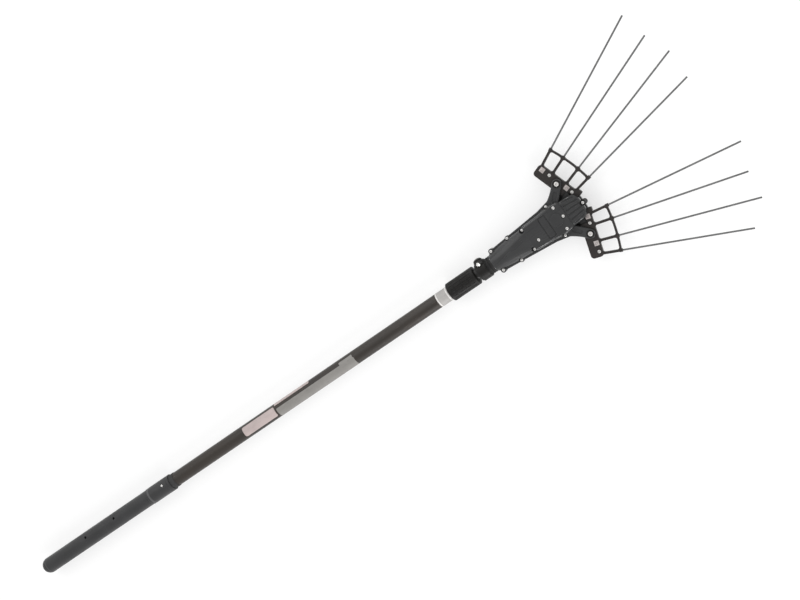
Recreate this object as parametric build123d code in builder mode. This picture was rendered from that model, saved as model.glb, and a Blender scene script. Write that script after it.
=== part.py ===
from build123d import *
import os
from math import asin, atan, cos, degrees, pi, radians, sin, sqrt, tan

os.makedirs("parts", exist_ok=True)

# Electric olive harvester lying flat. Millimetres, +X along the pole towards the rods, +Z up.
# The origin is on the floor under the crank's axis in the head.

# Clearances
press_gap = 0.05
slide_gap = 0.3
pivot_gap = 0.05
drive_slot_gap = 0.2
crank_slot_gap = 0.35

# Pole tubes
pole_d = 35.0
pole_wall = 1.5
inner_tube_d = 30.0
inner_tube_wall = 1.5
exposed_pole = 865.5
inner_tube_hidden = 820.0
bush_length = 40.0

# Grip, butt cap and power inlet
grip_d = 40.0
grip_wall = 2.8
grip_length = 346.0
spigot_step = 1.1
spigot_length = 12.0
grip_screw_y = 7.5
grip_screw_offsets = (139.0, 236.0)
grip_boss_r = 4.5
grip_screw_seat = 12.0
grip_screw_r = 1.5
grip_screw_head_r = 3.1
grip_screw_head = 2.4
grip_screw_depth = 10.0
cap_plug = 9.0
inlet_bore_d = 13.0
inlet_wall = 2.5
inlet_depth = 11.5
inlet_floor = 4.0
contact_r = 1.2
contact_pitch = 6.0
contact_tail = 5.0

# Collar between grip and pole
collar_d = 42.0
collar_length = 74.0
collar_round = 2.5
collar_groove_offset = 8.0
collar_groove = 1.4
collar_screw_offset = 21.0
collar_screw_tilt = 20.0
collar_screw_r = 2.0
collar_screw_head_r = 3.9
collar_screw_head = 2.4
collar_screw_sink = 1.4
seal_length = 14.0
seal_wall = 0.9

# Control board and switch in the grip
board_length = 80.0
board_width = 28.0
board_thickness = 1.6
board_drop = 7.0
board_ledge = 2.5
switch_offset = 31.0
button_r = 7.0
button_recess = 0.6
button_round = 0.5
button_travel = 2.0
button_flange_r = 8.5
button_flange = 1.9
switch_length = 25.0
switch_width = 16.0
switch_height = 12.0
switch_leg = 2.5

# Twist lock of the telescopic pole
lock_d = 46.0
lock_length = 75.5
lock_clearance = 7.0
lock_lip = 5.0
lock_flutes = 18
lock_flute_r = 1.6
lock_rings = 3
lock_ring_width = 2.0
lock_ring_depth = 1.0
lock_round = 2.5
lock_body_length = 40.0
lock_body_wall = 2.7
lock_collet_length = 17.0
lock_collet_wall = 4.2
lock_collet_slits = 4
lock_collet_slit = 2.0

# Head casing
head_half_height = 31.0
housing_rear_x = -179.0
neck_length = 43.0
neck_d = 41.0
neck_rings = 2
neck_ring_gap = 2.6
neck_ring_width = 3.0
neck_ring_depth = 1.4
tube_socket_depth = 56.0
casing_wall = 3.0
motor_casing_sizes = ((43.0, 43.0, 21.4), (53.0, 52.0, 24.0), (58.0, 57.5, 19.0), (61.0, 61.6, 13.0))
motor_casing_steps = (0.0, 29.0, 74.0, 106.0)
plateau_points = ((-79.0, 30.0), (-29.0, 33.0), (0.0, 37.0), (27.0, 33.5))
plateau_corner_r = 7.0
plateau_draft = 4.0
plateau_round = 6.0
chamber_rear_x = -72.0
chamber_front_x = 24.0
flange_points = ((-179.0, 20.5), (-165.0, 29.0), (-29.0, 41.0), (2.0, 47.5), (22.0, 57.4), (25.0, 50.0))
flange_half = 7.4
flange_round = 1.5
seam_half = 0.25
seam_depth = 0.7
mouth_half = 9.0
mouth_half_width = 31.0
bulge_rear_x = 20.0
bulge_front_x = 70.0
bulge_half_width = 32.0
bulge_top = 27.0
bulge_corner_r = 22.0
bulge_round = 8.0
groove_lines = ((5.2, 2.0), (15.6, 6.0), (25.6, 10.0))
groove_width = 4.4
groove_depth = 2.2
groove_length = 37.0
pivot_x = 45.0
pivot_y = 67.6
horn_angle = 47.0
horn_length = 60.0
horn_width = 22.4
horn_web_root = (3.0, 46.8)
horn_web_reach = 7.0
horn_top = 17.0
horn_round = 2.5
horn_dish_width = 10.4
horn_dish_length = 26.0
horn_dish_depth = 2.0
guard_points = ((18.0, 30.0), (18.0, 44.0), (42.0, 62.0), (57.0, 50.0), (60.0, 30.0))
guard_thickness = 4.0
front_post_x = 71.0
front_post_r = 6.5
front_ear_top = 19.0
ear_boss_r = 6.5
ear_boss_half = 9.0
recess_x = -24.5
recess_length = 21.0
recess_width = 56.0
recess_corner_r = 5.0
recess_moat = 3.4
recess_depth = 1.9
round_boss_x = 2.0
round_boss_r = 15.0
round_boss_height = 1.2

# Casing screws: x, y and height of the head's seat above the mid-plane
ear_screws = ((-168.0, 25.5, ear_boss_half),)
flange_screws = ((-120.0, 29.5, flange_half), (-79.0, 25.5, 16.0), (-5.0, 38.7, flange_half))
flange_boss_r = 6.0
casing_screw_r = 2.0
casing_screw_head_r = 3.6
casing_screw_head = 2.8
casing_screw_depth = 5.5
casing_screw_hole_gap = 0.25
screw_pocket_r = 5.2
scallop_r = 6.6
rail_screw = (11.0, 27.8)
shoe_screw = (19.5, 0.0)
bulkhead_screw = (-57.0, -13.3)
cover_screw_sink = 2.0
cover_boss_r = 4.6
cover_screw_bite = 9.0

# Clamp ring on the neck
clamp_offset = 3.4
clamp_length = 22.6
clamp_wall = 2.6
clamp_tilt = 58.0
clamp_ear_r = 31.0
clamp_ear_round = 8.0
clamp_ear_width = 16.0
clamp_slit = 2.6
clamp_bolt_r = 2.5
clamp_bolt_height = 27.0
clamp_bolt_head_r = 4.4
clamp_bolt_head = 4.5
clamp_nut_width = 8.0
clamp_nut_height = 4.0

# Motor, pinion and crank
motor_d = 42.0
motor_length = 81.0
motor_front_x = -78.5
motor_wall = 3.0
rotor_d = 33.0
rotor_length = 58.0
shaft_r = 4.0
pinion_teeth = 12
gear_teeth = 36
gear_pitch_r = 30.0
tooth_addendum = 1.3
tooth_dedendum = 1.8
tooth_share = 0.34
tooth_tip_share = 0.20
gear_face = 5.0
gear_outer_r = 31.0
gear_web = 6.2
pinion_length = 7.0
crank_r = 10.4
crank_pin_r = 4.0
crank_pin_top = 4.4
crank_shaft_r = 6.0
crank_shaft_length = 9.5
crank_bearing_r = 14.0
crank_bearing_height = 8.0
bearing_seat_wall = 3.0
bulkhead_rear_x = -63.0
bulkhead_thickness = 12.0
bulkhead_half_width = 27.5
bulkhead_nose_r = 14.0
bulkhead_nose = 14.0
pinion_bearing_r = 11.0
pinion_bearing_length = 7.0

# Crosshead and its guides
tongue_half_width = 20.0
tongue_half_height = 4.0
tongue_rear_wall = 5.0
crosshead_block_x = 20.0
crosshead_block_half_width = 17.0
crossbar_half_width = 30.0
crossbar_length = 20.0
crossbar_half_height = 7.6
fork_half_gap = 3.0
rail_length = 47.0
rail_inner_y = 17.5
rail_outer_y = 30.0
rail_top = 12.0
rail_bottom = -8.0
shoe_rear_x = 12.0
shoe_length = 11.8
shoe_width = 18.0
shoe_top = 14.0

# Combs in their own frame: u along the rods from the pivot, v outward
comb_rest = {1: 19.1, -1: 16.4}
drive_pin_arm = 46.0
drive_pin_r = 4.0
drive_slot_travel = 1.2
comb_half = 7.0
comb_rear_u = -16.3
comb_front_u = 13.8
comb_half_span = 57.5
comb_corner_r = 8.0
comb_round = 1.2
comb_notch_u = -1.0
comb_notch_v = -26.0
comb_lobe_u = 19.0
comb_lobe_width = 11.0
arm_width = 6.0
arm_half = 4.5
arm_round = 1.0
window_corner_r = 5.0
bar_middle_u = 55.2
bar_end_u = 51.0
bar_width = 5.0
knob_r = 4.2
knob_length = 8.0
rod_d = 4.2
rod_roots = (52.0, 21.7, -16.8, -43.3)
rod_angles = (7.9, 2.5, -1.4, -7.9)
rod_starts = (8.5, 11.0, 11.0, 8.5)
rod_lengths = {1: (378.0, 366.0, 370.0, 353.0), -1: (341.0, 370.0, 359.0, 369.0)}
rod_round = 1.2
fastener_u = 5.0
fastener_vs = (45.0, 25.0, -22.8, -38.5)
comb_bolt_r = 2.5
comb_bolt_head_r = 3.8
comb_bolt_head = 3.0
comb_bolt_sink = 2.4
comb_nut_width = 11.6
comb_nut_height = 4.0
comb_nut_sink = 3.2
rocker_half = 2.5
rocker_eye_r = 11.0
rocker_pin_eye_r = 8.0
rocker_lug_r = 5.5
bush_wall = 2.0
bush_half = 7.2
pivot_bolt_r = 5.0
pivot_head_r = 5.4
pivot_head = 4.0
pivot_sink = 3.0
pivot_sink_r = 7.6

# Derived places
axis_z = head_half_height
neck_rear_x = housing_rear_x - neck_length
neck_ring_x = neck_rear_x + clamp_offset + clamp_length + neck_ring_gap
lock_front_x = neck_rear_x - lock_clearance
lock_rear_x = lock_front_x - lock_length
collar_front_x = lock_rear_x - exposed_pole
collar_rear_x = collar_front_x - collar_length
grip_rear_x = collar_rear_x - grip_length
pole_r = pole_d / 2
inner_tube_r = inner_tube_d / 2
grip_r = grip_d / 2
collar_r = collar_d / 2
lock_r = lock_d / 2
neck_r = neck_d / 2
motor_r = motor_d / 2
rod_r = rod_d / 2
tube_start_x = collar_rear_x + spigot_length + slide_gap
lock_body_front_x = lock_front_x - lock_lip - 2 * slide_gap - lock_collet_length
tube_end_x = lock_body_front_x
socket_end_x = neck_rear_x + tube_socket_depth
tube_inner_start_x = lock_front_x - inner_tube_hidden
motor_rear_x = motor_front_x - motor_length
pinion_pitch_r = gear_pitch_r * pinion_teeth / gear_teeth
gear_top = -pinion_pitch_r + tooth_addendum
gear_root = -pinion_pitch_r - tooth_dedendum
gear_low = gear_root - gear_web
frame_tip_u = bar_end_u + bar_width / 2
pole_axis = Axis((0, 0, axis_z), (1, 0, 0))
profile_plane = Plane(origin=(0, 0, axis_z), x_dir=(1, 0, 0), z_dir=(0, -1, 0))


def cross_section(x):
    """Plane across the pole at x, centred on its axis: local x is +Y, local y is +Z."""
    return Plane(origin=(x, 0, axis_z), x_dir=(0, 1, 0), z_dir=(1, 0, 0))


def level(height):
    """Horizontal plane at a height above the head's mid-plane."""
    return Plane.XY.offset(axis_z + height)


def mirrored(points):
    """Outline points of the +Y side, closed with their mirror images."""
    return [*points, *[(x, -y) for x, y in reversed(points)]]


def both_sides(points):
    """The given points and their mirror images about the pole's axis."""
    return [(x, side * y, *rest) for x, y, *rest in points for side in (1, -1)]


def ring(start_x, length, outer_r, inner_r):
    """Plain ring on the pole's axis."""
    with BuildPart() as body:
        with BuildSketch(cross_section(start_x)):
            Circle(outer_r)
            Circle(inner_r, mode=Mode.SUBTRACT)
        extrude(amount=length)
    return body.part


# Outer tube of the pole
outer_tube = ring(tube_start_x, tube_end_x - tube_start_x, pole_r, pole_r - pole_wall)

# Grip as one form, split into its two shells below
grip_screw_points = [(grip_rear_x + offset, grip_screw_y) for offset in grip_screw_offsets]
grip_boss_height = sqrt(grip_r**2 - (grip_screw_y + grip_boss_r) ** 2) - press_gap
with BuildPart() as grip_form:
    with BuildSketch(cross_section(grip_rear_x)):
        Circle(grip_r)
        Circle(grip_r - grip_wall, mode=Mode.SUBTRACT)
    extrude(amount=grip_length)
    with BuildSketch(cross_section(collar_rear_x)):
        Circle(grip_r - spigot_step)
        Circle(grip_r - grip_wall, mode=Mode.SUBTRACT)
    extrude(amount=spigot_length)
    with BuildSketch(level(0)):
        with Locations(*grip_screw_points):
            Circle(grip_boss_r)
    extrude(amount=grip_boss_height, both=True)

# Upper grip shell with sunk screw holes
with BuildPart() as grip_upper_shell:
    add(grip_form.part)
    split(bisect_by=level(0), keep=Keep.TOP)
    with BuildSketch(level(0)):
        with Locations(*grip_screw_points):
            Circle(grip_screw_r + press_gap)
    extrude(amount=grip_r, mode=Mode.SUBTRACT)
    with BuildSketch(level(grip_screw_seat)):
        with Locations(*grip_screw_points):
            Circle(grip_screw_head_r + slide_gap)
    extrude(amount=grip_r, mode=Mode.SUBTRACT)

# Lower grip shell with ledges for the board and the hole for the button
switch_x = collar_rear_x - switch_offset
board_x = sum(x for x, _ in grip_screw_points) / 2
with BuildPart() as grip_lower_shell:
    add(grip_form.part)
    split(bisect_by=level(0), keep=Keep.BOTTOM)
    with BuildSketch(level(0)):
        with Locations(*grip_screw_points):
            Circle(grip_screw_r + press_gap)
    extrude(amount=-grip_screw_depth - slide_gap, mode=Mode.SUBTRACT)
    with BuildSketch(level(-board_drop - board_ledge)):
        with Locations((board_x, grip_r - grip_wall), (board_x, grip_wall - grip_r)):
            Rectangle(board_length, 2 * (grip_r - grip_wall) - board_width + 4 * board_thickness)
    extrude(amount=board_ledge)
    with BuildSketch(cross_section(grip_rear_x)):
        Circle(2 * grip_r)
        Circle(grip_r, mode=Mode.SUBTRACT)
    extrude(amount=grip_length, mode=Mode.SUBTRACT)
    with BuildSketch(level(-grip_r)):
        with Locations((switch_x, 0)):
            Circle(button_r + slide_gap)
    extrude(amount=grip_r, mode=Mode.SUBTRACT)

# Two screws that hold the grip shells together
with BuildPart() as grip_screws:
    with BuildSketch(level(grip_screw_seat)):
        with Locations(*grip_screw_points):
            Circle(grip_screw_head_r)
    extrude(amount=grip_screw_head)
    with BuildSketch(level(grip_screw_seat)):
        with Locations(*grip_screw_points):
            Circle(grip_screw_r)
    extrude(amount=-grip_screw_seat - grip_screw_depth)

# Domed butt cap with the hole for the power inlet
socket_r = inlet_bore_d / 2 + inlet_wall
cap_hole_r = socket_r + press_gap
cap_plug_r = grip_r - grip_wall - press_gap
cap_mouth_x = grip_rear_x - sqrt(grip_r**2 - cap_hole_r**2)
cap_middle = radians((degrees(asin(cap_hole_r / grip_r)) + 90) / 2)
with BuildPart() as butt_cap:
    with BuildSketch(profile_plane):
        with BuildLine():
            dome = ThreePointArc(
                (cap_mouth_x, cap_hole_r),
                (grip_rear_x - grip_r * cos(cap_middle), grip_r * sin(cap_middle)),
                (grip_rear_x, grip_r),
            )
            Polyline(
                dome @ 1,
                (grip_rear_x, cap_plug_r),
                (grip_rear_x + cap_plug, cap_plug_r),
                (grip_rear_x + cap_plug, cap_hole_r),
                dome @ 0,
            )
        make_face()
    revolve(axis=pole_axis)

# Power inlet: a socket with a floor that carries two contacts
contact_points = [(contact_pitch / 2, 0), (-contact_pitch / 2, 0)]
with BuildPart() as inlet_socket:
    with BuildSketch(cross_section(cap_mouth_x)):
        Circle(socket_r)
    extrude(amount=inlet_depth + inlet_floor)
    with BuildSketch(cross_section(cap_mouth_x)):
        Circle(inlet_bore_d / 2)
    extrude(amount=inlet_depth, mode=Mode.SUBTRACT)
    with BuildSketch(cross_section(cap_mouth_x + inlet_depth)):
        with Locations(*contact_points):
            Circle(contact_r + press_gap)
    extrude(amount=inlet_floor, mode=Mode.SUBTRACT)

with BuildPart() as inlet_contacts:
    with BuildSketch(cross_section(cap_mouth_x + inlet_depth)):
        with Locations(*contact_points):
            Circle(contact_r)
    extrude(amount=inlet_floor + contact_tail)

# Collar with a groove near its front and a sunk screw
collar_screw_x = collar_front_x - collar_screw_offset
collar_tilt = radians(collar_screw_tilt)
collar_screw_plane = Plane(
    origin=(collar_screw_x, 0, axis_z), x_dir=(1, 0, 0), z_dir=(0, sin(collar_tilt), cos(collar_tilt))
)
collar_seat_r = collar_r - collar_screw_sink
groove_x = collar_front_x - collar_groove_offset
with BuildPart() as grip_collar:
    with BuildSketch(profile_plane):
        with BuildLine():
            Polyline(
                (collar_rear_x, grip_r - spigot_step + press_gap),
                (collar_rear_x, collar_r),
                (groove_x - collar_groove / 2, collar_r),
                (groove_x, collar_r - collar_groove / 2),
                (groove_x + collar_groove / 2, collar_r),
                (collar_front_x, collar_r),
                (collar_front_x, pole_r + press_gap),
                (tube_start_x, pole_r + press_gap),
                (tube_start_x, grip_r - spigot_step + press_gap),
                close=True,
            )
        make_face()
    revolve(axis=pole_axis)
    rear_edge = edges().filter_by(GeomType.CIRCLE).filter_by(lambda e: abs(e.radius - collar_r) < 1e-3)
    fillet(rear_edge.sort_by(Axis.X)[0], min(collar_round, (collar_r - grip_r + spigot_step) * 0.9))
    with BuildSketch(collar_screw_plane.offset(collar_seat_r)):
        Circle(collar_screw_head_r + slide_gap)
    extrude(amount=collar_r, mode=Mode.SUBTRACT)
    with BuildSketch(collar_screw_plane.offset(pole_r)):
        Circle(collar_screw_r + press_gap)
    extrude(amount=collar_r - pole_r, mode=Mode.SUBTRACT)

with BuildPart() as collar_screw:
    with BuildSketch(collar_screw_plane.offset(collar_seat_r)):
        Circle(collar_screw_head_r)
    extrude(amount=collar_screw_head)
    with BuildSketch(collar_screw_plane.offset(collar_seat_r)):
        Circle(collar_screw_r)
    extrude(amount=pole_r + 2 * press_gap - collar_seat_r)

# Seal ring where the tube leaves the collar
collar_seal = ring(collar_front_x, seal_length, pole_r + press_gap + seal_wall, pole_r + press_gap)

# Control board with its larger components
with BuildPart() as control_board:
    with BuildSketch(level(-board_drop)):
        with Locations((board_x, 0)):
            Rectangle(board_length, board_width - 2 * slide_gap)
    extrude(amount=board_thickness)
    with BuildSketch(level(board_thickness - board_drop)):
        with Locations((board_x - board_length * 0.3, 0)):
            Rectangle(14, 18)
        with Locations((board_x + board_length * 0.05, 5)):
            Rectangle(16, 9)
    extrude(amount=5)
    with BuildSketch(level(board_thickness - board_drop)):
        with GridLocations(14, 0, 2, 1):
            with Locations((board_x + board_length * 0.3, -3)):
                Circle(5)
    extrude(amount=11)

# Switch with a push button on the underside of the grip
button_back = -sqrt((grip_r - grip_wall) ** 2 - button_flange_r**2) + slide_gap
switch_low = button_back + button_flange + button_travel + slide_gap
with BuildPart() as switch_button:
    with BuildSketch(level(-grip_r)):
        with Locations((switch_x, 0)):
            Circle(button_r)
    extrude(amount=grip_r + button_back + button_flange)
    with BuildSketch(cross_section(switch_x - 2 * button_r)):
        Circle(grip_r - button_recess)
    extrude(amount=4 * button_r, mode=Mode.INTERSECT)
    fillet(edges().sort_by(Axis.Z)[0], button_round)
    with BuildSketch(level(button_back)):
        with Locations((switch_x, 0)):
            Circle(button_flange_r)
    extrude(amount=button_flange)

switch_foot = -sqrt((grip_r - grip_wall) ** 2 - (switch_width / 2) ** 2) + press_gap
with BuildPart() as switch_body:
    with BuildSketch(level(switch_low)):
        with Locations((switch_x, 0)):
            Rectangle(switch_length, switch_width)
    extrude(amount=switch_height)
    with BuildSketch(level(switch_foot)):
        leg_x = (switch_length - switch_leg) / 2
        with Locations((switch_x - leg_x, 0), (switch_x + leg_x, 0)):
            Rectangle(switch_leg, switch_width)
    extrude(amount=switch_low - switch_foot)

# Twist lock: fixed body on the outer tube, split collet on the inner tube, fluted sleeve over both
lock_body_r = pole_r + press_gap + lock_body_wall
lock_bore_r = lock_body_r + slide_gap
lock_collet_r = inner_tube_r + slide_gap
lock_body = ring(
    lock_body_front_x - lock_body_length, lock_body_length, lock_body_r, pole_r + press_gap
)

with BuildPart() as lock_collet:
    with BuildSketch(cross_section(lock_body_front_x)):
        Circle(lock_collet_r + lock_collet_wall)
        Circle(lock_collet_r, mode=Mode.SUBTRACT)
    extrude(amount=lock_collet_length)
    chamfer(edges().filter_by(GeomType.CIRCLE).group_by(Axis.X)[-1].sort_by(SortBy.RADIUS)[-1], 1.5)
    with BuildSketch(cross_section(lock_body_front_x + lock_collet_length / 3)):
        with PolarLocations(0, lock_collet_slits // 2, angular_range=180):
            Rectangle(3 * lock_collet_r, lock_collet_slit)
    extrude(amount=lock_collet_length, mode=Mode.SUBTRACT)

with BuildPart() as lock_sleeve:
    with BuildSketch(cross_section(lock_rear_x)):
        Circle(lock_r)
    extrude(amount=lock_length)
    fillet(edges().filter_by(GeomType.CIRCLE), lock_round)
    with BuildSketch(cross_section(lock_rear_x + 3 * lock_round)):
        with PolarLocations(lock_r + lock_flute_r / 3, lock_flutes):
            Circle(lock_flute_r)
    extrude(amount=lock_length - 6 * lock_round, mode=Mode.SUBTRACT)
    for number in range(1, lock_rings + 1):
        ring_x = lock_rear_x + number * lock_length / (lock_rings + 1)
        with BuildSketch(cross_section(ring_x - lock_ring_width / 2)):
            Circle(lock_r + lock_ring_depth)
            Circle(lock_r - lock_ring_depth, mode=Mode.SUBTRACT)
        extrude(amount=lock_ring_width, mode=Mode.SUBTRACT)
    with BuildSketch(cross_section(lock_rear_x + lock_lip)):
        Circle(lock_bore_r)
    extrude(amount=lock_length - 2 * lock_lip, mode=Mode.SUBTRACT)
    with BuildSketch(cross_section(lock_rear_x)):
        Circle(pole_r + slide_gap)
    extrude(amount=lock_lip, mode=Mode.SUBTRACT)
    with BuildSketch(cross_section(lock_front_x)):
        Circle(inner_tube_r + slide_gap)
    extrude(amount=-lock_lip, mode=Mode.SUBTRACT)

# Inner tube with its guide bush
inner_tube = ring(
    tube_inner_start_x, socket_end_x - tube_inner_start_x, inner_tube_r, inner_tube_r - inner_tube_wall
)
tube_bush = ring(
    tube_inner_start_x, bush_length, pole_r - pole_wall - pivot_gap, inner_tube_r + press_gap
)

# Head casing forms: neck and motor casing, raised cover, flange, front bulge and horns
with BuildPart() as motor_casing:
    for step, (width, height, corner) in zip(motor_casing_steps, motor_casing_sizes):
        with BuildSketch(cross_section(housing_rear_x + step)):
            RectangleRounded(width, height, corner)
    loft()
    with BuildSketch(cross_section(neck_rear_x)):
        Circle(neck_r)
    extrude(amount=neck_length + 10)
    for number in range(neck_rings):
        with BuildSketch(cross_section(neck_ring_x + number * 2 * neck_ring_width)):
            Circle(neck_d)
            Circle(neck_r - neck_ring_depth, mode=Mode.SUBTRACT)
        extrude(amount=neck_ring_width, mode=Mode.SUBTRACT)

plateau_foot = [(x, y + plateau_draft) for x, y in plateau_points]
plateau_foot[0] = (plateau_points[0][0] - plateau_draft, plateau_foot[0][1])
plateau_foot[-1] = (plateau_points[-1][0] + plateau_draft, plateau_foot[-1][1])
with BuildPart() as plateau:
    with BuildSketch(level(0)):
        Polygon(*reversed(mirrored(plateau_foot)), align=None)
        fillet(vertices(), plateau_corner_r + plateau_draft)
    extrude(amount=head_half_height, taper=degrees(atan(plateau_draft / head_half_height)))
    top = axis_z + head_half_height
    fillet(edges().filter_by_position(Axis.Z, top - 0.1, top + 0.1), plateau_round)
    split(bisect_by=cross_section(plateau_points[-1][0]), keep=Keep.BOTTOM)
    mirror(about=level(0))

with BuildPart() as bulge:
    with BuildSketch(level(mouth_half)):
        with Locations(((bulge_rear_x + bulge_front_x) / 2, 0)):
            Rectangle(bulge_front_x - bulge_rear_x, 2 * bulge_half_width)
        fillet(vertices().group_by(Axis.X)[-1], bulge_corner_r)
    extrude(amount=bulge_top - mouth_half)
    fillet(edges().group_by(Axis.Z)[-1], bulge_round)
    with BuildSketch(level(mouth_half)):
        with Locations((front_post_x, 0)):
            Circle(front_post_r)
    extrude(amount=front_ear_top - mouth_half)
    with BuildSketch(level(bulge_top - groove_depth)):
        for spread, fan in groove_lines:
            for side in (1, -1):
                with Locations(((plateau_points[-1][0] + bulge_front_x) / 2, side * spread)):
                    SlotOverall(groove_length, groove_width, rotation=-side * fan)
    extrude(amount=2 * groove_depth, mode=Mode.SUBTRACT)
    mirror(about=level(0))

horn_turn = radians(horn_angle)
horn_middle = (pivot_x - horn_length / 2 * cos(horn_turn), pivot_y - horn_length / 2 * sin(horn_turn))
horn_web_end = (
    pivot_x - horn_web_reach * cos(horn_turn) - horn_width / 2 * sin(horn_turn),
    pivot_y - horn_web_reach * sin(horn_turn) + horn_width / 2 * cos(horn_turn),
)
with BuildPart() as horns:
    with BuildSketch(level(flange_half)):
        for side in (1, -1):
            with Locations((horn_middle[0], side * horn_middle[1])):
                SlotCenterToCenter(horn_length, horn_width, rotation=side * horn_angle)
            with BuildLine():
                web_end = (horn_web_end[0], side * horn_web_end[1])
                web_root = (horn_web_root[0], side * horn_web_root[1])
                TangentArc(web_end, web_root, tangent=(-cos(horn_turn), -side * sin(horn_turn)))
                Polyline(
                    web_root,
                    (horn_web_root[0], side * plateau_points[-1][1] * 0.8),
                    (horn_middle[0], side * horn_middle[1]),
                    web_end,
                )
            make_face()
    extrude(amount=horn_top - flange_half)
    fillet(edges().group_by(Axis.Z)[-1], horn_round)
    with BuildSketch(level(horn_top - horn_dish_depth)):
        for side in (1, -1):
            with Locations((horn_middle[0], side * horn_middle[1])):
                SlotOverall(horn_dish_length, horn_dish_width, rotation=side * horn_angle)
    extrude(amount=2 * horn_dish_depth, mode=Mode.SUBTRACT)
    with BuildSketch(level(horn_top - pivot_sink)):
        with Locations((pivot_x, pivot_y), (pivot_x, -pivot_y)):
            Circle(pivot_sink_r)
    extrude(amount=2 * pivot_sink, mode=Mode.SUBTRACT)
    with BuildSketch(level(flange_half)):
        with Locations((pivot_x, pivot_y), (pivot_x, -pivot_y)):
            Circle(pivot_bolt_r + press_gap)
    extrude(amount=horn_top, mode=Mode.SUBTRACT)
    mirror(about=level(0))

with BuildPart() as flange:
    with BuildSketch(level(0)) as flange_outline:
        Polygon(*mirrored(flange_points), align=None)
        with Locations(*[(x, y) for x, y, _ in both_sides(flange_screws)]):
            Circle(flange_boss_r)
    extrude(amount=flange_half, both=True)
    fillet(edges().group_by(Axis.Z)[-1], flange_round)
    fillet(edges().group_by(Axis.Z)[0], flange_round)
    with BuildSketch(level(0)):
        Rectangle(16 * head_half_height, 8 * head_half_height)
        offset(flange_outline.sketch_local, amount=-seam_depth, mode=Mode.SUBTRACT)
    extrude(amount=seam_half, both=True, mode=Mode.SUBTRACT)

chamber_points = [(x, y - casing_wall) for x, y in plateau_points]
with BuildPart() as casing:
    add(motor_casing.part)
    add(plateau.part)
    add(bulge.part)
    add(horns.part)
    add(flange.part)
    with BuildSketch(level(0)):
        with Locations(*[(x, y) for x, y, _ in both_sides(ear_screws)]):
            Circle(ear_boss_r)
    extrude(amount=ear_boss_half, both=True)
    with BuildSketch(cross_section(neck_rear_x)):
        Circle(inner_tube_r + press_gap)
    extrude(amount=tube_socket_depth, mode=Mode.SUBTRACT)
    with BuildSketch(cross_section(socket_end_x)):
        Circle(inner_tube_r - 2 * inner_tube_wall)
    extrude(amount=motor_rear_x - socket_end_x, mode=Mode.SUBTRACT)
    with BuildSketch(cross_section(motor_rear_x - slide_gap)):
        Circle(motor_r + press_gap)
    extrude(amount=chamber_rear_x - motor_rear_x + 2 * slide_gap, mode=Mode.SUBTRACT)
    with BuildSketch(level(casing_wall - head_half_height)):
        Polygon(*mirrored(chamber_points), align=None)
        with Locations((chamber_rear_x, 0)):
            Rectangle(
                2 * head_half_height,
                4 * head_half_height,
                align=(Align.MAX, Align.CENTER),
                mode=Mode.SUBTRACT,
            )
        with Locations((chamber_front_x, 0)):
            Rectangle(
                2 * head_half_height,
                4 * head_half_height,
                align=(Align.MIN, Align.CENTER),
                mode=Mode.SUBTRACT,
            )
    extrude(amount=2 * (head_half_height - casing_wall), mode=Mode.SUBTRACT)
    with BuildSketch(level(-mouth_half)):
        with Locations((chamber_front_x, 0)):
            Rectangle(4 * casing_wall, 2 * mouth_half_width)
    extrude(amount=2 * mouth_half, mode=Mode.SUBTRACT)

# Screws of the casing: all their places and seats
casing_screw_points = both_sides(ear_screws) + both_sides(flange_screws)
casing_screw_points.append((front_post_x, 0, front_ear_top))
cover_seat = head_half_height - cover_screw_sink
cover_screw_points = [
    (rail_screw[0], rail_screw[1], rail_top),
    (rail_screw[0], -rail_screw[1], rail_top),
    (shoe_screw[0], shoe_screw[1], shoe_top),
    (bulkhead_screw[0], bulkhead_screw[1], head_half_height - casing_wall),
]

# Upper shell: screw seats, hanging bosses, recess and round boss
with BuildPart() as head_upper_shell:
    add(casing.part)
    split(bisect_by=level(0), keep=Keep.TOP)
    for x, y, boss_low in cover_screw_points[:3]:
        with BuildSketch(level(boss_low)):
            with Locations((x, y)):
                Circle(cover_boss_r)
        extrude(amount=head_half_height - casing_wall / 2 - boss_low)
    with BuildSketch(level(head_half_height)):
        with Locations((round_boss_x, 0)):
            Circle(round_boss_r)
    extrude(amount=round_boss_height)
    with BuildSketch(level(head_half_height - recess_depth)):
        with Locations((recess_x, 0)):
            RectangleRounded(recess_length, recess_width, recess_corner_r)
            RectangleRounded(
                recess_length - 2 * recess_moat,
                recess_width - 2 * recess_moat,
                recess_corner_r / 2,
                mode=Mode.SUBTRACT,
            )
    extrude(amount=2 * recess_depth, mode=Mode.SUBTRACT)
    for x, y, seat in casing_screw_points:
        with BuildSketch(level(seat)):
            with Locations((x, y)):
                Circle(scallop_r if seat == flange_screws[1][2] else screw_pocket_r)
        extrude(amount=2 * head_half_height, mode=Mode.SUBTRACT)
    with BuildSketch(level(cover_seat)):
        with Locations(*[(x, y) for x, y, _ in cover_screw_points]):
            Circle(screw_pocket_r)
    extrude(amount=2 * cover_screw_sink, mode=Mode.SUBTRACT)
    with BuildSketch(level(0)):
        with Locations(*[(x, y) for x, y, _ in casing_screw_points + cover_screw_points]):
            Circle(casing_screw_r + casing_screw_hole_gap)
    extrude(amount=2 * head_half_height, mode=Mode.SUBTRACT)

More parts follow.
